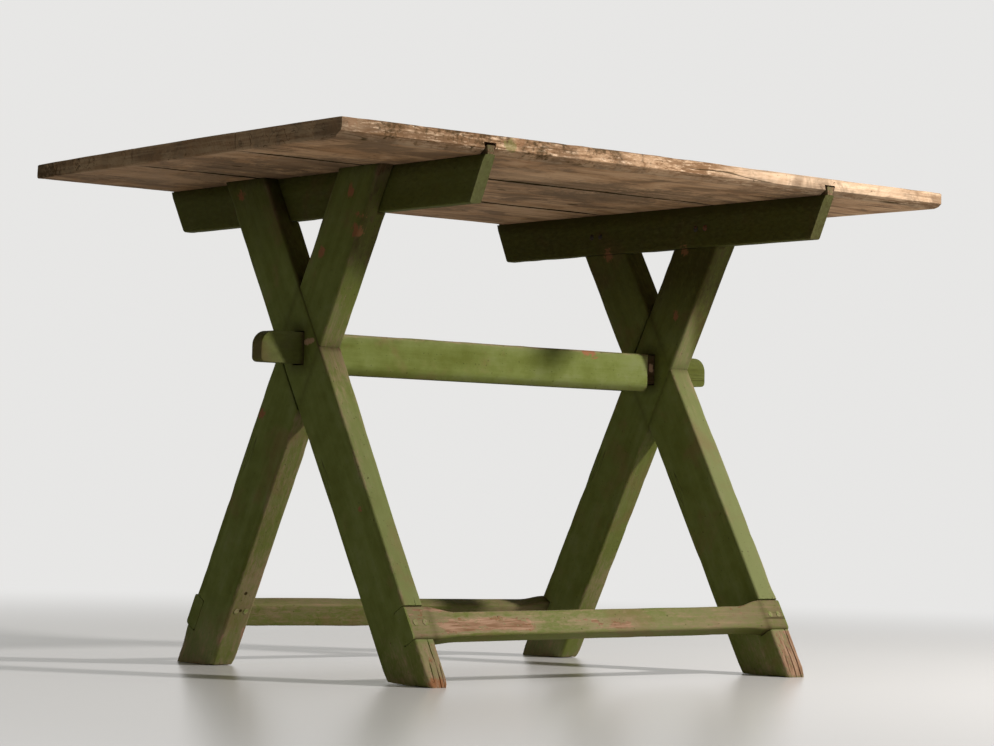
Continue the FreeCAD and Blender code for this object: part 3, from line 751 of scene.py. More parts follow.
def iron_finish(finish, colours):
    """Forged nail heads, dark and rusted, with some of the paint on them"""
    places = finish.places()
    pits = finish.cloud(places, (330, 330, 330), 5, 0.65)
    bloom = finish.cloud(places, (120, 120, 120), 3, 0.6)
    base = finish.coats(
        colours.iron,
        (finish.step(bloom, 0.42, 0.62), colours.rust),
        (finish.step(pits, 0.60, 0.74) * 0.5, colours.deep_green))
    finish.surface(Base_Color=base, Metallic=finish.step(bloom, 0.55, 0.40) * 0.1,
                   Roughness=0.6 + pits * 0.4, Specular_IOR_Level=0.1,
                   Normal=finish.bump(pits, 0.7, 0.0006))


def floor_finish(finish, colours):
    """A pale floor that fades into the background away from the table"""
    away = finish.length(finish.places())
    floor = finish.add("ShaderNodeBsdfPrincipled", {"Base Color": (*colours.floor, 1), "Roughness": 0.26})
    clear = finish.add("ShaderNodeEmission", {"Color": (*colours.backdrop, 1), "Strength": 1})
    seen = finish.add("ShaderNodeLightPath", {}, "Is Camera Ray")
    far = finish.step(away, 0.9, 3.4) * seen
    finish.end("ShaderNodeOutputMaterial", finish.add("ShaderNodeMixShader", {0: far, 1: floor, 2: clear}))


# Name and maker of the finish of each slot, and of the floor
FINISHES = {
    "stripped_pine": ("Stripped pine", pine_finish),
    "green_painted_pine": ("Green paint over pine", painted_finish),
    "peg_wood": ("Peg wood", peg_finish),
    "nail_iron": ("Nail iron", iron_finish),
    "floor": ("Pale floor", floor_finish),
}


def finish_for(slot):
    """The material of a slot, made when it is first asked for"""
    name, make = FINISHES[slot]
    material = bpy.data.materials.get(name)
    if material is None:
        material = bpy.data.materials.new(name)
        make(Finish(material), bpy.context.scene.sawbuck_colours)
    return material


# The top

EDGE_BAND = 0.034
SEAM_CUTS = (0.0008, 0.0024, 0.006)
# Where the growth rings of each plank have their middle, from the plank's own middle
PITH = {
    "front": (0, 0.012, 0.055),
    "middle": (2.7, -0.02, 0.075),
    "back": (5.4, 0.03, 0.095),
}


def plank_edge_inset(height, top_gap, bevel, sizes, worn):
    """How far the edge of the top stands back at a height above its underside"""
    reach = sizes.bevel_reach * bevel / sizes.bevel_height
    inset = reach * fade(height, bevel) if height < bevel else 0
    if top_gap < sizes.top_arris:
        inset += (sizes.top_arris + worn) * (1 - top_gap / sizes.top_arris)
    return inset


def draw_in(distance, inset, band):
    """The new distance from an edge that stands back by inset"""
    return distance if distance >= band else inset + distance * (1 - inset / band)


def make_plank(place_in_top, sizes):
    node = "top_plank_" + place_in_top
    low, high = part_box(node)
    middle = (low + high) / 2
    bm = bmesh.new()
    lay_front(bm, low, high, low.y)
    roof = low.z + sizes.tongue_height + sizes.groove_play
    cut_line(bm, Vector((0, 0, roof)), Z_AXIS)
    batten_lines = []
    for side in SIDES:
        batten_low, batten_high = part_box("batten_" + side)
        batten_lines.append((batten_low.x + batten_high.x) / 2)
        mouth = sizes.tongue_neck / 2 + sizes.groove_play
        crown = (batten_high.x - batten_low.x) / 2 + sizes.groove_play
        between = cut_dovetail(bm, batten_lines[-1], low.z, mouth, (crown - mouth) / (roof - low.z))
        take_out(bm, lambda point: point.z < roof and between(point))
    grow(bm, bm.faces[:], Vector((0, high.y - low.y, 0)))
    timber = Timber(middle, X_AXIS, Y_AXIS, high.y - low.y, high.z - low.z, SEEDS[node])
    half = timber.thickness / 2
    near_seam = [hand * (timber.width / 2 - gap) for hand in (-1, 1) for gap in SEAM_CUTS]
    slice_up(bm, timber, "plank", across=near_seam,
             through=(sizes.bevel_height / 2 - half, sizes.bevel_height - half, half - sizes.top_arris))
    top_low, top_high = CAD_BOX[0], CAD_BOX[1]

    def seam_gap(place):
        """Distance from the joint with the next plank"""
        return min(abs(hand * timber.width / 2 - place.y) for hand in (-1, 1)
                   if abs(middle.y + hand * timber.width / 2) < top_high.y - TOUCH)

    def back_share(point):
        """How far back in the top a point lies, from 0 to 1"""
        return (point.y - top_low.y) / (top_high.y - top_low.y)

    def seam_step(point, place):
        """How far the underside stands up beside the next plank behind"""
        from_batten = min(abs(point.x - line) for line in batten_lines) - sizes.seam_step_keep
        uneven = 0.65 + 0.70 * timber.sway(place, 8)
        uneven *= 0.40 if point.x < batten_lines[0] else 1 - 0.5 * ramp(point.x - 0.05, 0.15)
        step = sizes.seam_step * max(0.2, uneven) * fade(timber.width / 2 - place.y, 0.030)
        return step * ramp(from_batten, 0.020)

    def bevel_at(point, place, axis, hand):
        """Height of the bevel, which is worn to different heights on the four sides"""
        bevel = sizes.bevel_height * (1 + 0.35 * timber.ripple(place, 5, 3))
        if axis == 0:
            return bevel * (0.12 if hand == 1 else 0.25 + 0.75 * back_share(point))
        return bevel if hand == 1 else bevel * (1 - 0.85 * fade(point.x - top_low.x, 0.60))

    for vert in bm.verts:
        height = vert.co.z - low.z
        top_gap = high.z - vert.co.z
        place = timber.local(vert.co)
        from_left = vert.co.x - top_low.x
        worn = sizes.edge_chip * max(0.0, timber.ripple(place, 26, 8))
        worn += sizes.edge_nick * max(0.0, timber.ripple(place, 90, 30))
        worn *= 1 - 0.8 * fade(from_left, 0.30)
        ragged = sizes.edge_ragged * max(0.0, timber.ripple(place, 14, 20))
        open_seam = 1 - fade(min(from_left, top_high.x - vert.co.x), 0.05)
        share = back_share(vert.co)
        worn_down = sizes.end_thinning * share ** 2 * fade(from_left, 0.30)
        worn_down += sizes.front_thinning * (1 - share) ** 2 * ramp(vert.co.x, 0.40)
        vert.co.z -= worn_down * height / timber.thickness
        if height < TOUCH and place_in_top != "back":
            vert.co.z += seam_step(vert.co, place) * open_seam
        gaps = {}
        for axis in (0, 1):
            for hand, edge in ((1, top_low[axis]), (-1, top_high[axis])):
                gap = hand * (vert.co[axis] - edge)
                if gap < EDGE_BAND:
                    bevel = bevel_at(vert.co, place, axis, hand)
                    inset = plank_edge_inset(height, top_gap, bevel, sizes, worn)
                    gaps[axis] = (hand, edge, draw_in(gap, inset + ragged, EDGE_BAND))
        if seam_gap(place) < TOUCH and min(height, top_gap) < TOUCH:
            drop = sizes.seam_drop + 0.0008 * timber.ripple(place, 40, 1)
            opening = sizes.seam_open + 0.0005 * timber.ripple(place, 25, 1)
            vert.co.z += open_seam * math.copysign(drop, -place.z)
            vert.co.y -= open_seam * math.copysign(opening, place.y)
        for axis, (hand, edge, gap) in gaps.items():
            vert.co[axis] = edge + hand * gap
        if len(gaps) == 2:
            near = gaps[0][0] > 0 and gaps[1][0] > 0
            radius = sizes.near_corner_round if near else sizes.corner_round
            away = [radius - gaps[axis][2] for axis in (0, 1)]
            if min(away) > 0:
                ease = max(away) / math.hypot(*away)
                for axis, (hand, edge, gap) in gaps.items():
                    vert.co[axis] = edge + hand * (radius - away[axis] * ease)

    def wear_at(point, place, arris):
        edge = min(point.y - top_low.y, top_high.y - point.y)
        end = min(point.x - top_low.x, top_high.x - point.x)
        # Rub of use, with painted light: the edges grow paler toward the lamp on the right and darker toward
        # the left.
        use_and_light = 0.48 + 1.10 * ramp(point.x - 0.03, 0.15) - 0.35 * ramp(point.x - 0.36, 0.12)
        rub = use_and_light * fade(edge, 0.016)
        if high.z - point.z < sizes.top_arris:
            rub = max(rub, 0.20)
        near_end = fade(point.x - top_low.x, 0.090) * fade(edge, 0.016)
        dirt_and_shade = min(0.80, 0.46 * fade(end, 0.006) + 0.20 * fade(end, 0.05) + 0.34 * near_end)
        # Painted shade on the bevel under the edge, which looks down.
        if edge < sizes.bevel_reach + 0.002:
            dirt_and_shade = max(dirt_and_shade, 0.75 * fade(point.z - low.z, sizes.bevel_height))
        seam = seam_gap(place)
        dirt_and_shade = max(dirt_and_shade, 0.50 * fade(seam, 0.014)) + 1.3 * fade(seam, 0.0034) * (1 - fade(end, 0.040))
        # Darker towards the back of the left end, and a dark crust along the front edge that grows towards
        # the left.
        crust_and_darkening = (0.04 + 0.52 * back_share(point) ** 4) * fade(end, 0.010)
        if point.y - top_low.y < 0.010:
            crust_and_darkening = 0.34 + 0.12 * fade(high.z - point.z, 0.014)
            crust_and_darkening *= min(ramp(0.20 - point.x, 0.40), max(0.2, (point.x + 0.60) / 0.10))
        return rub, dirt_and_shade, crust_and_darkening

    dress(bm, timber, "plank", wear_at, PITH[place_in_top])
    settle(bm, node, "stripped_pine")


class SAWBUCK_OT_planks(bpy.types.Operator):
    """The three planks of the top, grooved for the battens"""

    bl_idname = "sawbuck.planks"
    bl_label = "Make the planks"

    def execute(self, context):
        for place_in_top in PLANKS:
            make_plank(place_in_top, context.scene.sawbuck_sizes)
        return {"FINISHED"}


def make_batten(side, sizes):
    node = "batten_" + side
    left = side == "left"
    low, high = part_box(node)
    neck_height = high.z - sizes.tongue_height
    centre = (low.x + high.x) / 2
    half = (high.x - low.x) / 2
    bm = bmesh.new()
    lay_front(bm, low, high, low.y)
    cut_line(bm, Vector((0, 0, neck_height)), Z_AXIS)
    neck = sizes.tongue_neck / 2
    between = cut_dovetail(bm, centre, neck_height, neck, (half - neck) / sizes.tongue_height)
    take_out(bm, lambda point: point.z > neck_height and not between(point))
    grow(bm, bm.faces[:], Vector((0, high.y - low.y, 0)))
    corners = edges_at(bm, lambda point: point.z - low.z, lambda point: abs(point.x - centre) - half)
    lower = [edge for edge in corners if runs_along(edge, Y_AXIS)]
    round_edges(bm, lower, sizes.batten_arris, 2)
    middle = Vector((centre, 0, (low.z + neck_height) / 2))
    timber = Timber(middle, Y_AXIS, Z_AXIS, neck_height - low.z, high.x - low.x, SEEDS[node])
    slice_up(bm, timber, "batten", across=(neck_height - middle.z + 0.001,))

    def drop(point):
        """How far down the side a point lies, from 0 to 1"""
        return max(0.0, neck_height - point.z) / (neck_height - low.z)

    for vert in bm.verts:
        rise = max(0.0, vert.co.z - neck_height) / sizes.tongue_height
        rake = sizes.batten_rake + (sizes.left_back_rake if left and vert.co.y > 0 else 0)
        vert.co.y *= 1 - rake * drop(vert.co) / high.y
        vert.co.z -= sizes.tongue_shrink * 0.8 * rise
        if rise and vert.co.x < centre:
            vert.co.x += sizes.tongue_shrink * (0.6 + rise)

    def wear_at(point, place, arris):
        if point.z > neck_height + 0.0008:
            return 0.84, 0.76 if left else 0.62, 0
        end = high.y - sizes.batten_rake * drop(point) - abs(point.y)
        on_end = fade(end, 0.004)
        rub = 0.20 * fade(arris, 0.010) + 0.10 * fade(end, 0.05)
        # Painted shade under the top, with dirt: the sides dark all over and darker still next to the
        # underside.
        dirt_and_shade = (0.66 if left else 0.86) + 0.30 * fade(neck_height - point.z, 0.02)
        end_dirt_and_shade = 0.70 if left else 0.85
        return rub, dirt_and_shade + (end_dirt_and_shade - dirt_and_shade) * on_end, 0.35 * on_end

    dress(bm, timber, "batten", wear_at)
    settle(bm, node, "green_painted_pine")


class SAWBUCK_OT_battens(bpy.types.Operator):
    """The two battens that hold the planks together"""

    bl_idname = "sawbuck.battens"
    bl_label = "Make the battens"

    def execute(self, context):
        for side in SIDES:
            make_batten(side, context.scene.sawbuck_sizes)
        return {"FINISHED"}


# The trestles


def leg_timber(node, width):
    """The leg's middle line, from its box and its width"""
    low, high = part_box(node)
    rise = high.z - low.z
    half = width / 2
    for _ in range(LEG_SOLVE_ROUNDS):
        half = width / 2 * math.hypot(high.y - low.y - 2 * half, rise) / rise
    ends = (low.y + half, high.y - half)
    foot, top = ends if node.endswith("front_foot") else ends[::-1]
    along = Vector((0, top - foot, rise)).normalized()
    middle = Vector(((low.x + high.x) / 2, foot, 0))
    timber = Timber(middle, along, Vector((0, -along.z, along.y)), width, high.x - low.x, SEEDS[node])
    timber.level_half = half
    timber.top = top
    timber.rise = rise
    return timber


def notch_start(timber, seat, out):
    """Where a stretcher's notch starts, measured along the leg"""
    edge_y = timber.middle.y + (timber.top - timber.middle.y) * seat / timber.rise - out * timber.level_half
    return timber.local(Vector((timber.middle.x, edge_y, seat))).x


# Painted shade under the top, with dirt, on the broad face of each leg's upper end
UPPER_SHADE_AND_DIRT = {
    "leg_left_front_foot": 0.70,
    "leg_left_back_foot": 0.42,
    "leg_right_front_foot": 0.66,
    "leg_right_back_foot": 0.92,
}

# Drying cracks in the front of each foot: across the leg's thickness, length up the leg, depth
FOOT_CRACKS = {
    "leg_left_front_foot": ((0.0032, 0.110, 0.0065), (-0.0080, 0.014, 0.002), (0.0110, 0.012, 0.002)),
    "leg_right_front_foot": ((0.0095, 0.110, 0.0090), (-0.0010, 0.030, 0.003), (-0.0110, 0.014, 0.002)),
    "leg_left_back_foot": ((-0.006, 0.030, 0.003),),
    "leg_right_back_foot": ((0.005, 0.030, 0.003),),
}
CRACK_HALF = 0.0006
FOOT_CUTS = (0.006, 0.012, 0.018, 0.024)
# How far up a foot its worn sides reach, and how far in from its edges
FOOT_WEAR = 0.016
FOOT_RIM = 0.006
# Height below which the left front leg is slimmer, and the length over which it narrows
SLIM_BELOW = 0.42
SLIM_OVER = 0.20


def make_leg(side, foot, sizes):
    node = f"leg_{side}_{foot}_foot"
    left, front = side == "left", foot == "front"
    timber = leg_timber(node, sizes.leg_width)
    partner = leg_timber(f"leg_{side}_{'back' if front else 'front'}_foot", sizes.leg_width)
    x_middle = timber.middle.x
    outward = -1 if left else 1
    out = 1 if front else -1
    half_width = sizes.leg_width / 2
    half_thick = timber.thickness / 2
    batten_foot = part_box("batten_" + side)[0].z
    rail_low, rail_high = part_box("centre_rail")
    crossing_y = (rail_low.y + rail_high.y) / 2
    tenon_low = rail_high.z - sizes.tenon_height - sizes.mortise_play
    tenon_high = rail_high.z + sizes.mortise_play
    tenon_half = sizes.tenon_thickness / 2 + sizes.mortise_play
    crossing_z = rail_high.z - sizes.tenon_height / 2
    start = notch_start(timber, getattr(sizes, f"{foot}_{side}_seat"), out) - sizes.notch_play
    stop = start + sizes.stretcher_height + 2 * sizes.notch_play
    floor_of_notch = half_width - sizes.stretcher_thickness
    if not front:
        floor_of_notch += sizes.back_stretcher_proud - sizes.back_notch_gap

    def in_mortise(point):
        return abs(point.y - crossing_y) < tenon_half and tenon_low < point.z < tenon_high

    def in_notch(point):
        place = timber.local(point)
        return start < place.x < stop and out * place.y > floor_of_notch

    def in_lap(point):
        return abs(partner.local(point).y) < half_width

    def in_housing(point):
        return point.z > batten_foot

    bm = bmesh.new()
    level = timber.level_half
    feet_y, tops_y = timber.middle.y, timber.top
    lay_sheet(bm, [(x_middle, feet_y - level, 0), (x_middle, feet_y + level, 0),
                   (x_middle, tops_y + level, timber.rise), (x_middle, tops_y - level, timber.rise)])
    for hand in (-1, 1):
        cut_line(bm, partner.point(0, hand * half_width, 0), partner.across)
        cut_line(bm, Vector((0, crossing_y + hand * tenon_half, 0)), Y_AXIS)
    for height in (tenon_low, tenon_high, batten_foot):
        cut_line(bm, Vector((0, 0, height)), Z_AXIS)
    for station in (start, stop):
        cut_line(bm, timber.point(station, 0, 0), timber.along)
    cut_line(bm, timber.point(0, out * floor_of_notch, 0), timber.across)
    take_out(bm, lambda point: in_mortise(point) or in_notch(point))

    def not_in(faces, *tests):
        return [face for face in faces if not any(test(face.calc_center_median()) for test in tests)]

    def on_middle():
        return faces_at(bm, lambda point: point.x - x_middle)

    outer = Vector((outward * half_thick, 0, 0))
    web = Vector((-outward * (half_thick - sizes.batten_let_in), 0, 0))
    inner = Vector((-outward * sizes.batten_let_in, 0, 0))
    if front:
        grow(bm, bm.faces[:], outer)
        inside = grow(bm, not_in(on_middle(), in_lap), web)
        grow(bm, not_in(inside, in_lap, in_housing), inner)
    else:
        inside = grow(bm, bm.faces[:], web)
        grow(bm, not_in(on_middle(), in_lap), outer)
        grow(bm, not_in(inside, in_housing), inner)
    bmesh.ops.recalc_face_normals(bm, faces=bm.faces)
    arrises = edges_at(bm, lambda point: abs(timber.local(point).z) - half_thick,
                       lambda point: abs(timber.local(point).y) - half_width)
    round_edges(bm, arrises, sizes.leg_arris, 3)

    cracks = FOOT_CRACKS[node]
    lines = [centre + step for centre, _, _ in cracks for step in (-CRACK_HALF, 0, CRACK_HALF)]
    housing = -outward * (half_thick - sizes.batten_let_in)
    lines += [housing + outward * 0.0025]
    slice_up(bm, timber, "leg", along=FOOT_CUTS, through=lines)

    for vert in bm.verts:
        place = timber.local(vert.co)
        height = vert.co.z
        across_gap = half_width - abs(place.y)
        through_gap = half_thick - abs(place.z)
        toe = (1.7 if front else 0.8) if place.y > 0 else 0.45
        if height < FOOT_WEAR:
            rough = 0.5 + 0.5 * timber.ripple(place, 40, 110)
            tuck = fade(height, FOOT_WEAR) ** 2 * sizes.foot_tuck * toe * (0.2 + rough)
            if across_gap < FOOT_RIM:
                vert.co -= timber.across * math.copysign(tuck, place.y)
            if through_gap < FOOT_RIM:
                vert.co -= timber.through * math.copysign(tuck, place.z)
        if height < TOUCH:
            lift = max(fade(across_gap, 0.008), fade(through_gap, 0.007)) ** 2
            vert.co.z += lift * sizes.foot_lift * toe * (0.3 + 0.7 * abs(timber.ripple(place, 50, 120)))
        if left and front:
            slim = ramp(SLIM_BELOW - height, SLIM_OVER)
            if place.y < 0:
                vert.co += timber.across * sizes.slim_edge * slim * fade(across_gap, half_width)
            if place.z > 0:
                vert.co -= timber.through * sizes.slim_face * slim * fade(through_gap, half_thick)
        if height > batten_foot + TOUCH and abs(place.z - housing) < TOUCH and across_gap < TOUCH:
            vert.co.x += outward * sizes.housing_wear
        for centre, reach, depth in cracks:
            side_step = place.z - centre
            if abs(side_step) < CRACK_HALF * 1.2 and place.y > half_width - TOUCH and place.x < reach:
                open_share = fade(place.x, reach)
                if abs(side_step) < CRACK_HALF * 0.5:
                    vert.co -= timber.across * depth * open_share ** 0.5
                else:
                    vert.co += timber.through * math.copysign(sizes.crack_open * open_share, side_step)
                wander = noise.noise(Vector((place.x * 38, timber.seed, centre)))
                vert.co += timber.through * sizes.crack_sway * wander

    def front_wear_and_shade(below, face):
        """What use adds on the forward edge of a leg with its foot at the front, and the painted shadow of
        the top on that face above the crossing
        """
        # Above the crossing the face looks forward and up under the top: painted shadow.
        if below <= -0.002:
            return 0, 0.88 * face, 0
        clean = 0 if left else 0.6
        rub = face * (1 - clean) * (0.18 * fade(below, 0.075) + 0.14 * fade(below, 0.180))
        dirt_and_shade = face * (0.08 + (1 - clean) * 0.52 * fade(below, 0.065))
        return rub, dirt_and_shade, face * (0.24 if left else 0.42) * (1 - (1 - clean) * fade(below, 0.130))

    def back_wear_and_shade(point, below, face, upper, arris):
        """What use adds on the forward edge of a leg with its foot at the back, and near its top; above a
        slanting line, the painted shadow of the top on that face, with paler paint for the lit part below it
        on the right leg
        """
        to_left = ramp(x_middle + half_thick - point.x, timber.thickness)
        # Painted shadow of the top falls on the forward face above this slanting line.
        shadow_line = 0.545 + 0.035 * to_left if left else 0.470 + 0.075 * to_left
        shade = ramp(point.z - shadow_line, 0.035)
        if below > 0:
            dirt_and_shade = face * (0.34 if left else 0.26)
            chalk = (0.40 if left else 0.60) * fade(point.z, 0.110) * (1 - face)
        else:
            dirt_and_shade = face * (0.36 if left else 0.20 + 0.14 * shade) + face * 0.42 * shade
            chalk = 0 if left else 0.30 * face * (1 - shade)
        rub = face * (0.16 if left else 0.04) * fade(min(0, below), 0.110)
        if below > 0.20:
            rub += face * 0.26 * fade(point.z - 0.12, 0.06)
        if upper > 0:
            dirt_and_shade += 0.16 * fade(arris, 0.016)
            rub += face * (0.10 + 0.45 * fade(timber.rise - point.z, 0.030))
        return rub, dirt_and_shade, chalk

    def wear_at(point, place, arris):
        face = fade(half_width - place.y, 0.006)
        below = crossing_z - point.z
        upper = ramp(point.z - (0.58 if left else 0.48), 0.14)
        dashes = max(0.0, timber.ripple(place, 30, 9) - 0.10) * (1.3 if left else 0.5)
        if not front and upper > 0:
            dashes *= 1.6
        added = front_wear_and_shade(below, face) if front else back_wear_and_shade(point, below, face, upper, arris)
        more_rub, more_dirt_and_shade, chalk = added
        rub = (0.10 + dashes) * fade(arris, 0.008) + 0.18 * face
        rub += 0.42 * fade(point.z, 0.130) * (1 - face) + more_rub
        # The right legs are a little darker all over: painted shade.
        dirt_and_shade = 0.25 * fade(point.z, 0.005) + (0 if left else 0.06) + more_dirt_and_shade
        if front and not left:
            dirt_and_shade += 0.10 * fade(point.z, 0.110) * (1 - face)
        # Painted shade under the top darkens the upper broad faces.
        dirt_and_shade += upper * (1 - face) * UPPER_SHADE_AND_DIRT[node]
        beside_tenon = max(0.0, abs(point.y - crossing_y) - tenon_half)
        from_tenon = math.hypot(beside_tenon, outside(point.z, tenon_low, tenon_high))
        dirt_and_shade += 0.60 * fade(from_tenon, 0.018) * (1 - face)
        if front and place.x < start:
            raw = 0.46 * fade(point.z, 0.018) if left else 0.34 * fade(point.z, 0.075) ** 0.5
            rub += face * (0.44 + raw)
            dirt_and_shade += face * 0.12
            chalk = 0
        else:
            rub += 0.22 * fade(point.z, 0.008)
        dirt_and_shade += 0.35 * fade(abs(partner.local(point).y) - half_width, 0.008)
        dirt_and_shade += 0.40 * fade(timber.rise - point.z, 0.012)
        # Painted shade in the gap beside the batten's housing
        if point.z > batten_foot - 0.002:
            dirt_and_shade += 1.2 * fade(place.z - housing, 0.0026)
        return rub, dirt_and_shade, chalk

    def calm(place):
        """Stillness of the wood round a notch, where the stretcher's end and the pegs lie flush"""
        return fade(max(0.0, abs(place.x - (start + stop) / 2) - 0.030), 0.014)

    dress(bm, timber, "leg", wear_at, calm=calm)
    for vert in bm.verts:
        vert.co.z = max(vert.co.z, 0)
    settle(bm, node, "green_painted_pine")


class SAWBUCK_OT_legs(bpy.types.Operator):
    """The four legs, halved at the crossings and notched for the stretchers"""

    bl_idname = "sawbuck.legs"
    bl_label = "Make the legs"

    def execute(self, context):
        for side in SIDES:
            for foot in FEET:
                make_leg(side, foot, context.scene.sawbuck_sizes)
        return {"FINISHED"}


# From a rail shoulder nearly to the outer face of its trestle, where the tenon is sheltered
TENON_SHELTERED = 0.058


def make_rail(sizes):
    node = "centre_rail"
    low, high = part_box(node)
    y_middle = (low.y + high.y) / 2
    tenon_low = high.z - sizes.tenon_height
    tenon_front = y_middle - sizes.tenon_thickness / 2
    shoulder = sizes.rail_shoulder
    cheek = (sizes.rail_thickness - sizes.tenon_thickness) / 2
    bm = bmesh.new()
    lay_front(bm, low, high, tenon_front)
    cut_line(bm, Vector((0, 0, tenon_low)), Z_AXIS)
    for hand in (-1, 1):
        cut_line(bm, Vector((hand * shoulder, 0, 0)), X_AXIS)
    take_out(bm, lambda point: abs(point.x) > shoulder and point.z < tenon_low)
    back = grow(bm, bm.faces[:], Vector((0, sizes.tenon_thickness, 0)))
    front = faces_at(bm, lambda point: point.y - tenon_front)
    for faces, step in ((back, cheek), (front, -cheek)):
        body = [face for face in faces if abs(face.calc_center_median().x) < shoulder]
        grow(bm, body, Vector((0, step, 0)))
    bmesh.ops.recalc_face_normals(bm, faces=bm.faces)
    bmesh.ops.dissolve_limit(bm, angle_limit=0.01, verts=bm.verts, edges=bm.edges)

    def from_end(point):
        return abs(point.x) - high.x

    def from_shoulder(point):
        return abs(point.x) - shoulder

    def from_side(point):
        return abs(point.y - y_middle) - sizes.rail_thickness / 2

    def from_cheek(point):
        return abs(point.y - y_middle) - sizes.tenon_thickness / 2

    def from_height(height):
        return lambda point: point.z - height

    rounds = (
        ((from_end, from_height(high.z)), sizes.ear_upper_round, 8),
        ((from_end, from_height(tenon_low)), sizes.ear_lower_round, 4),
        ((from_side, from_height(low.z)), sizes.rail_lower_arris, 1),
        ((from_side, from_height(high.z)), sizes.rail_upper_arris, 2),
        ((from_side, from_shoulder), sizes.shoulder_round, 2),
    )
    for distances, radius, segments in rounds:
        round_edges(bm, edges_at(bm, *distances), radius, segments)
    outline = [edge for edge in edges_at(bm, from_cheek)
               if all(from_shoulder(vert.co) > TOUCH for vert in edge.verts)
               and len(edge.link_faces) == 2 and edge.calc_face_angle() > 0.5]
    round_edges(bm, outline, sizes.ear_arris, 2)

    middle = Vector((0, y_middle, (low.z + high.z) / 2))
    timber = Timber(middle, X_AXIS, Z_AXIS, high.z - low.z, sizes.rail_thickness, SEEDS[node])
    slice_up(bm, timber, "rail")

    def wear_at(point, place, arris):
        beyond = from_shoulder(point)
        rub = 0.34 * fade(arris, 0.012) if beyond < 0 else 0.0
        rub += 0.22 * fade(high.z - point.z, 0.004) + 0.30 * fade(beyond, 0.010)
        # Dirt where the tenon leaves the leg, and painted shade on the chamfer underneath
        dirt_and_shade = 0.5 * fade(beyond - TENON_SHELTERED, 0.006) + 0.60 * fade(point.z - low.z, 0.010)
        # The tenon between shoulder and leg is painted dark for the shadow it lies in.
        if 0.001 < beyond < TENON_SHELTERED:
            rub = max(rub, 0.80)
            dirt_and_shade += 1.1
        # The ears are darkened: painted shade with dirt.
        if beyond > TENON_SHELTERED + 0.002:
            rub += 0.30 * fade(from_end(point), 0.004)
            dirt_and_shade += 0.54
        return rub, dirt_and_shade, 0.15 * fade(high.z - point.z, 0.012)

    dress(bm, timber, "rail", wear_at)
    settle(bm, node, "green_painted_pine")


class SAWBUCK_OT_rail(bpy.types.Operator):
    """The centre rail, tenoned through both crossings"""

    bl_idname = "sawbuck.rail"
    bl_label = "Make the rail"

    def execute(self, context):
        make_rail(context.scene.sawbuck_sizes)
        return {"FINISHED"}


# Places where feet have worn the front stretcher: between two x, between two shares of its height, amount
STRETCHER_WEAR = (
    (-0.292, -0.150, 0.22, 0.50, 0.62),
    (-0.020, 0.036, 0.22, 0.40, 0.36),
    (-0.300, 0.020, 0.88, 1.00, 0.46),
    (0.020, 0.280, 0.92, 1.00, 0.42),
    (-0.060, -0.042, 0.40, 0.50, 0.34),
)


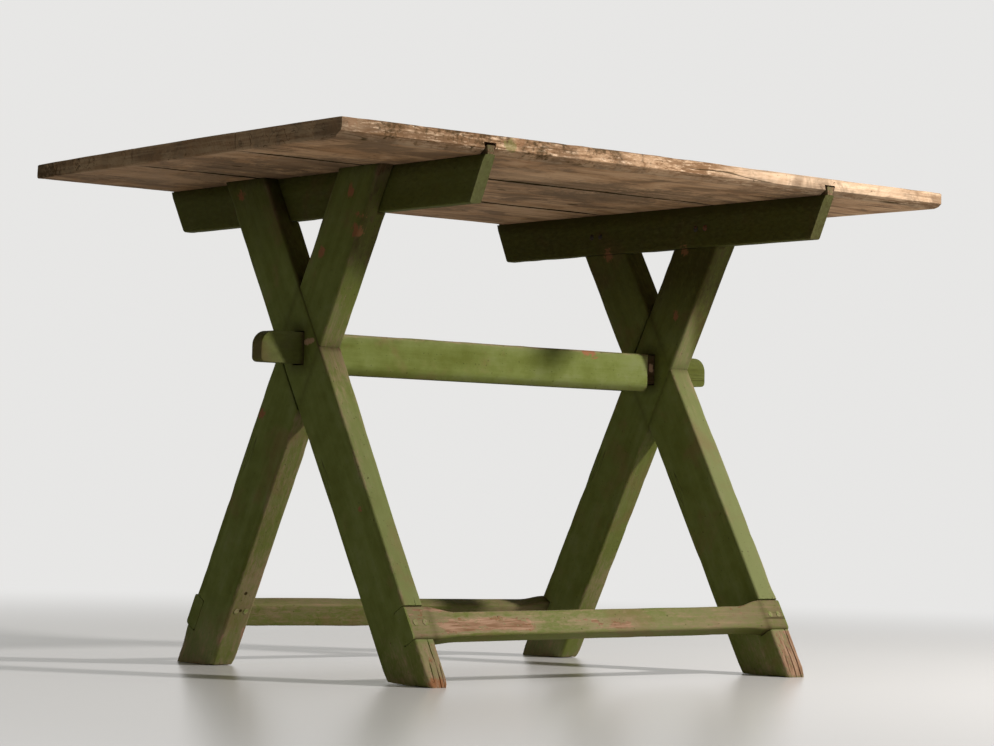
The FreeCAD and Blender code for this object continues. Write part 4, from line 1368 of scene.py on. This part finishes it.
def make_stretcher(foot, sizes):
    node = "foot_stretcher_" + foot
    low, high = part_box(node)
    leg = leg_timber(f"leg_left_{foot}_foot", sizes.leg_width)
    out = 1 if foot == "front" else -1
    proud = 0 if foot == "front" else sizes.back_stretcher_proud
    left_seat = getattr(sizes, f"{foot}_left_seat")
    slope = (getattr(sizes, f"{foot}_right_seat") - left_seat) / leg.along.z
    half_height = sizes.stretcher_height / 2
    half_thick = sizes.stretcher_thickness / 2
    base = leg.point(notch_start(leg, left_seat, out) + half_height,
                     out * (sizes.leg_width / 2 + proud - half_thick), 0)
    timber = Timber((0, base.y, base.z), X_AXIS, leg.along, sizes.stretcher_height,
                    sizes.stretcher_thickness, SEEDS[node])
    bm = bmesh.new()
    corners = ((low.x, -half_height), (high.x, -half_height), (high.x, half_height), (low.x, half_height))
    lay_sheet(bm, [timber.point(x, up, -half_thick) for x, up in corners])
    grow(bm, bm.faces[:], timber.through * sizes.stretcher_thickness)
    bmesh.ops.recalc_face_normals(bm, faces=bm.faces)
    round_edges(bm, [edge for edge in bm.edges if runs_along(edge, X_AXIS)], sizes.stretcher_arris, 3)
    slice_up(bm, timber, "stretcher")
    leg_face = abs(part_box("leg_left_front_foot")[1].x)
    lower_waist = getattr(sizes, f"{foot}_lower_waist")
    upper_waist = getattr(sizes, f"{foot}_upper_waist")
    for vert in bm.verts:
        place = timber.local(vert.co)
        inside = (leg_face - abs(place.x)) / sizes.stretcher_sweep
        if inside > 0:
            ease = min(inside, 1)
            ease = ease * ease * (3 - 2 * ease)
            sag = min(0, sizes.stretcher_sag * ease * timber.sway(place, 9))
            scale = 1 - (lower_waist + upper_waist) * ease / sizes.stretcher_height
            lifted = -half_height + lower_waist * ease + (place.y + half_height) * scale
            vert.co += timber.across * (lifted - place.y + sag)

    def wear_at(point, place, arris):
        up = (place.y + half_height) / sizes.stretcher_height
        from_end = high.x - abs(point.x)
        if from_end < 0.0008:
            return 0.06, 0.04, 0
        joint = 0.30 * fade(abs(point.x) - leg_face, 0.008)
        if foot == "back":
            return 0.44 + 0.12 * fade(arris, 0.011), 0.37 + joint, 0
        rub = 0.42 + 0.14 * fade(arris, 0.011) + 0.16 * fade(from_end, 0.090)
        for x_low, x_high, up_low, up_high, amount in STRETCHER_WEAR:
            beside = fade(outside(point.x, x_low, x_high), 0.030)
            rub += amount * beside * fade(outside(up, up_low, up_high), 0.12)
        # Less rub and more dark on the lower band, which looks down, and more dark toward the right end:
        # painted shade.
        rub -= 0.26 * fade(up, 0.20)
        dirt_and_shade = joint + 0.34 * fade(up, 0.16) + 0.09 + 0.20 * fade(from_end, 0.110)
        dirt_and_shade += 0.21 * ramp(point.x, 0.25)
        return rub, dirt_and_shade, 0.14 * fade(abs(point.x) - 0.06, 0.28)

    def calm(place):
        """Stillness of the wood in the notches, where the end lies flush with the leg"""
        return fade(max(0.0, leg_face - abs(place.x)), 0.030)

    dress(bm, timber, "stretcher", wear_at, calm=calm)
    for vert in bm.verts:
        vert.co += timber.across * slope * ramp(vert.co.x + leg_face, 2 * leg_face)
    settle(bm, node, "green_painted_pine")


class SAWBUCK_OT_stretchers(bpy.types.Operator):
    """The two foot stretchers, let into the legs and worn by feet"""

    bl_idname = "sawbuck.stretchers"
    bl_label = "Make the stretchers"

    def execute(self, context):
        for foot in FEET:
            make_stretcher(foot, context.scene.sawbuck_sizes)
        return {"FINISHED"}


class SAWBUCK_OT_fixings(bpy.types.Operator):
    """Finishes for the pegs and the nails, which keep their shapes"""

    bl_idname = "sawbuck.fixings"
    bl_label = "Finish the pegs and nails"

    def execute(self, context):
        for stem, slot in (("stretcher_pegs", "peg_wood"), ("batten_nails", "nail_iron")):
            for side in SIDES:
                for foot in FEET:
                    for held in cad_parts[f"{stem}_{side}_{foot}"].material_slots:
                        held.material = finish_for(slot)
        return {"FINISHED"}


# The stage

FLOOR_RADIUS = 14
# Place, target and width of each lamp, in metres
KEY_LAMP = ((1.68, -2.31, 1.84), (0, 0, 0.40), 0.28)
OVERHEAD_LAMP = ((0.2, -0.8, 3.4), (0.1, -0.3, 0), 2.4)


def add_floor():
    bm = bmesh.new()
    bmesh.ops.create_circle(bm, cap_ends=True, segments=96, radius=FLOOR_RADIUS)
    mesh = bpy.data.meshes.new("Floor")
    bm.to_mesh(mesh)
    bm.free()
    mesh.materials.append(finish_for("floor"))
    floor = bpy.data.objects.new("Floor", mesh)
    bpy.context.scene.collection.objects.link(floor)


def light_world(colours, ambient):
    """A pale background where it is seen or mirrored, and a dim even light elsewhere"""
    world = bpy.data.worlds.new("Studio")
    bpy.context.scene.world = world
    finish = Finish(world)
    rays = ("Is Camera Ray", "Is Glossy Ray")
    shown = finish.most(finish.add("ShaderNodeLightPath", {}, ray) for ray in rays)
    pale = finish.add("ShaderNodeBackground", {"Color": (*colours.backdrop, 1), "Strength": 1})
    even = finish.add("ShaderNodeBackground", {"Color": (*colours.even_light, 1), "Strength": ambient})
    finish.end("ShaderNodeOutputWorld", finish.add("ShaderNodeMixShader", {0: shown, 1: even, 2: pale}))


def add_lamp(name, stand, watts, rgb):
    place, target, size = stand
    lamp = bpy.data.lights.new(name, "AREA")
    lamp.shape = "DISK"
    lamp.size = size
    lamp.energy = watts
    lamp.color = rgb
    holder = bpy.data.objects.new(name, lamp)
    bpy.context.scene.collection.objects.link(holder)
    holder.location = place
    holder.rotation_mode = "QUATERNION"
    holder.rotation_quaternion = (Vector(target) - Vector(place)).to_track_quat("-Z", "Y")


def add_camera(stage):
    level_right = Vector((math.cos(stage.yaw), -math.sin(stage.yaw), 0))
    level_forward = Vector((math.sin(stage.yaw), math.cos(stage.yaw), 0))
    forward = math.cos(stage.pitch) * level_forward + math.sin(stage.pitch) * Z_AXIS
    level_up = level_right.cross(forward)
    right = math.cos(stage.roll) * level_right + math.sin(stage.roll) * level_up
    up = math.cos(stage.roll) * level_up - math.sin(stage.roll) * level_right
    camera = bpy.data.cameras.new("Camera")
    holder = bpy.data.objects.new("Camera", camera)
    bpy.context.scene.collection.objects.link(holder)
    turn = Matrix((right, up, -forward)).transposed().to_4x4()
    holder.matrix_world = Matrix.Translation(stage.eye) @ turn
    camera.sensor_width = SENSOR_WIDTH
    camera.lens = stage.focal_pixels * SENSOR_WIDTH / PHOTO_WIDTH
    bpy.context.scene.camera = holder


class SAWBUCK_OT_stage(bpy.types.Operator):
    """The floor, the lamps and the camera"""

    bl_idname = "sawbuck.stage"
    bl_label = "Set the stage"

    def execute(self, context):
        stage = context.scene.sawbuck_stage
        colours = context.scene.sawbuck_colours
        add_floor()
        light_world(colours, stage.ambient)
        add_lamp("Key lamp", KEY_LAMP, stage.key_power, colours.key_light)
        add_lamp("Overhead lamp", OVERHEAD_LAMP, stage.top_power, colours.top_light)
        add_camera(stage)
        context.scene.view_settings.view_transform = "Standard"
        return {"FINISHED"}


STEPS = (SAWBUCK_OT_planks, SAWBUCK_OT_battens, SAWBUCK_OT_legs, SAWBUCK_OT_rail, SAWBUCK_OT_stretchers,
         SAWBUCK_OT_fixings, SAWBUCK_OT_stage)
GROUPS = {"sawbuck_sizes": SawbuckSizes, "sawbuck_colours": SawbuckColours, "sawbuck_stage": SawbuckStage}


class SAWBUCK_PT_table(bpy.types.Panel):
    """Lists the steps of dressing the table"""

    bl_idname = "SAWBUCK_PT_table"
    bl_label = "Sawbuck table"
    bl_space_type = "VIEW_3D"
    bl_region_type = "UI"
    bl_category = "Sawbuck"

    def draw(self, context):
        for step in STEPS:
            self.layout.operator(step.bl_idname)
        for name, group in GROUPS.items():
            box = self.layout.box()
            for key in group.__annotations__:
                box.prop(getattr(context.scene, name), key)


def register():
    for name, group in GROUPS.items():
        bpy.utils.register_class(group)
        setattr(bpy.types.Scene, name, bpy.props.PointerProperty(type=group))
    for item in (*STEPS, SAWBUCK_PT_table):
        bpy.utils.register_class(item)


def unregister():
    for item in (SAWBUCK_PT_table, *reversed(STEPS)):
        bpy.utils.unregister_class(item)
    for name, group in GROUPS.items():
        delattr(bpy.types.Scene, name)
        bpy.utils.unregister_class(group)


def main():
    register()
    bpy.ops.sawbuck.planks()
    bpy.ops.sawbuck.battens()
    bpy.ops.sawbuck.legs()
    bpy.ops.sawbuck.rail()
    bpy.ops.sawbuck.stretchers()
    bpy.ops.sawbuck.fixings()
    bpy.ops.sawbuck.stage()


if __name__ == "__main__":
    main()
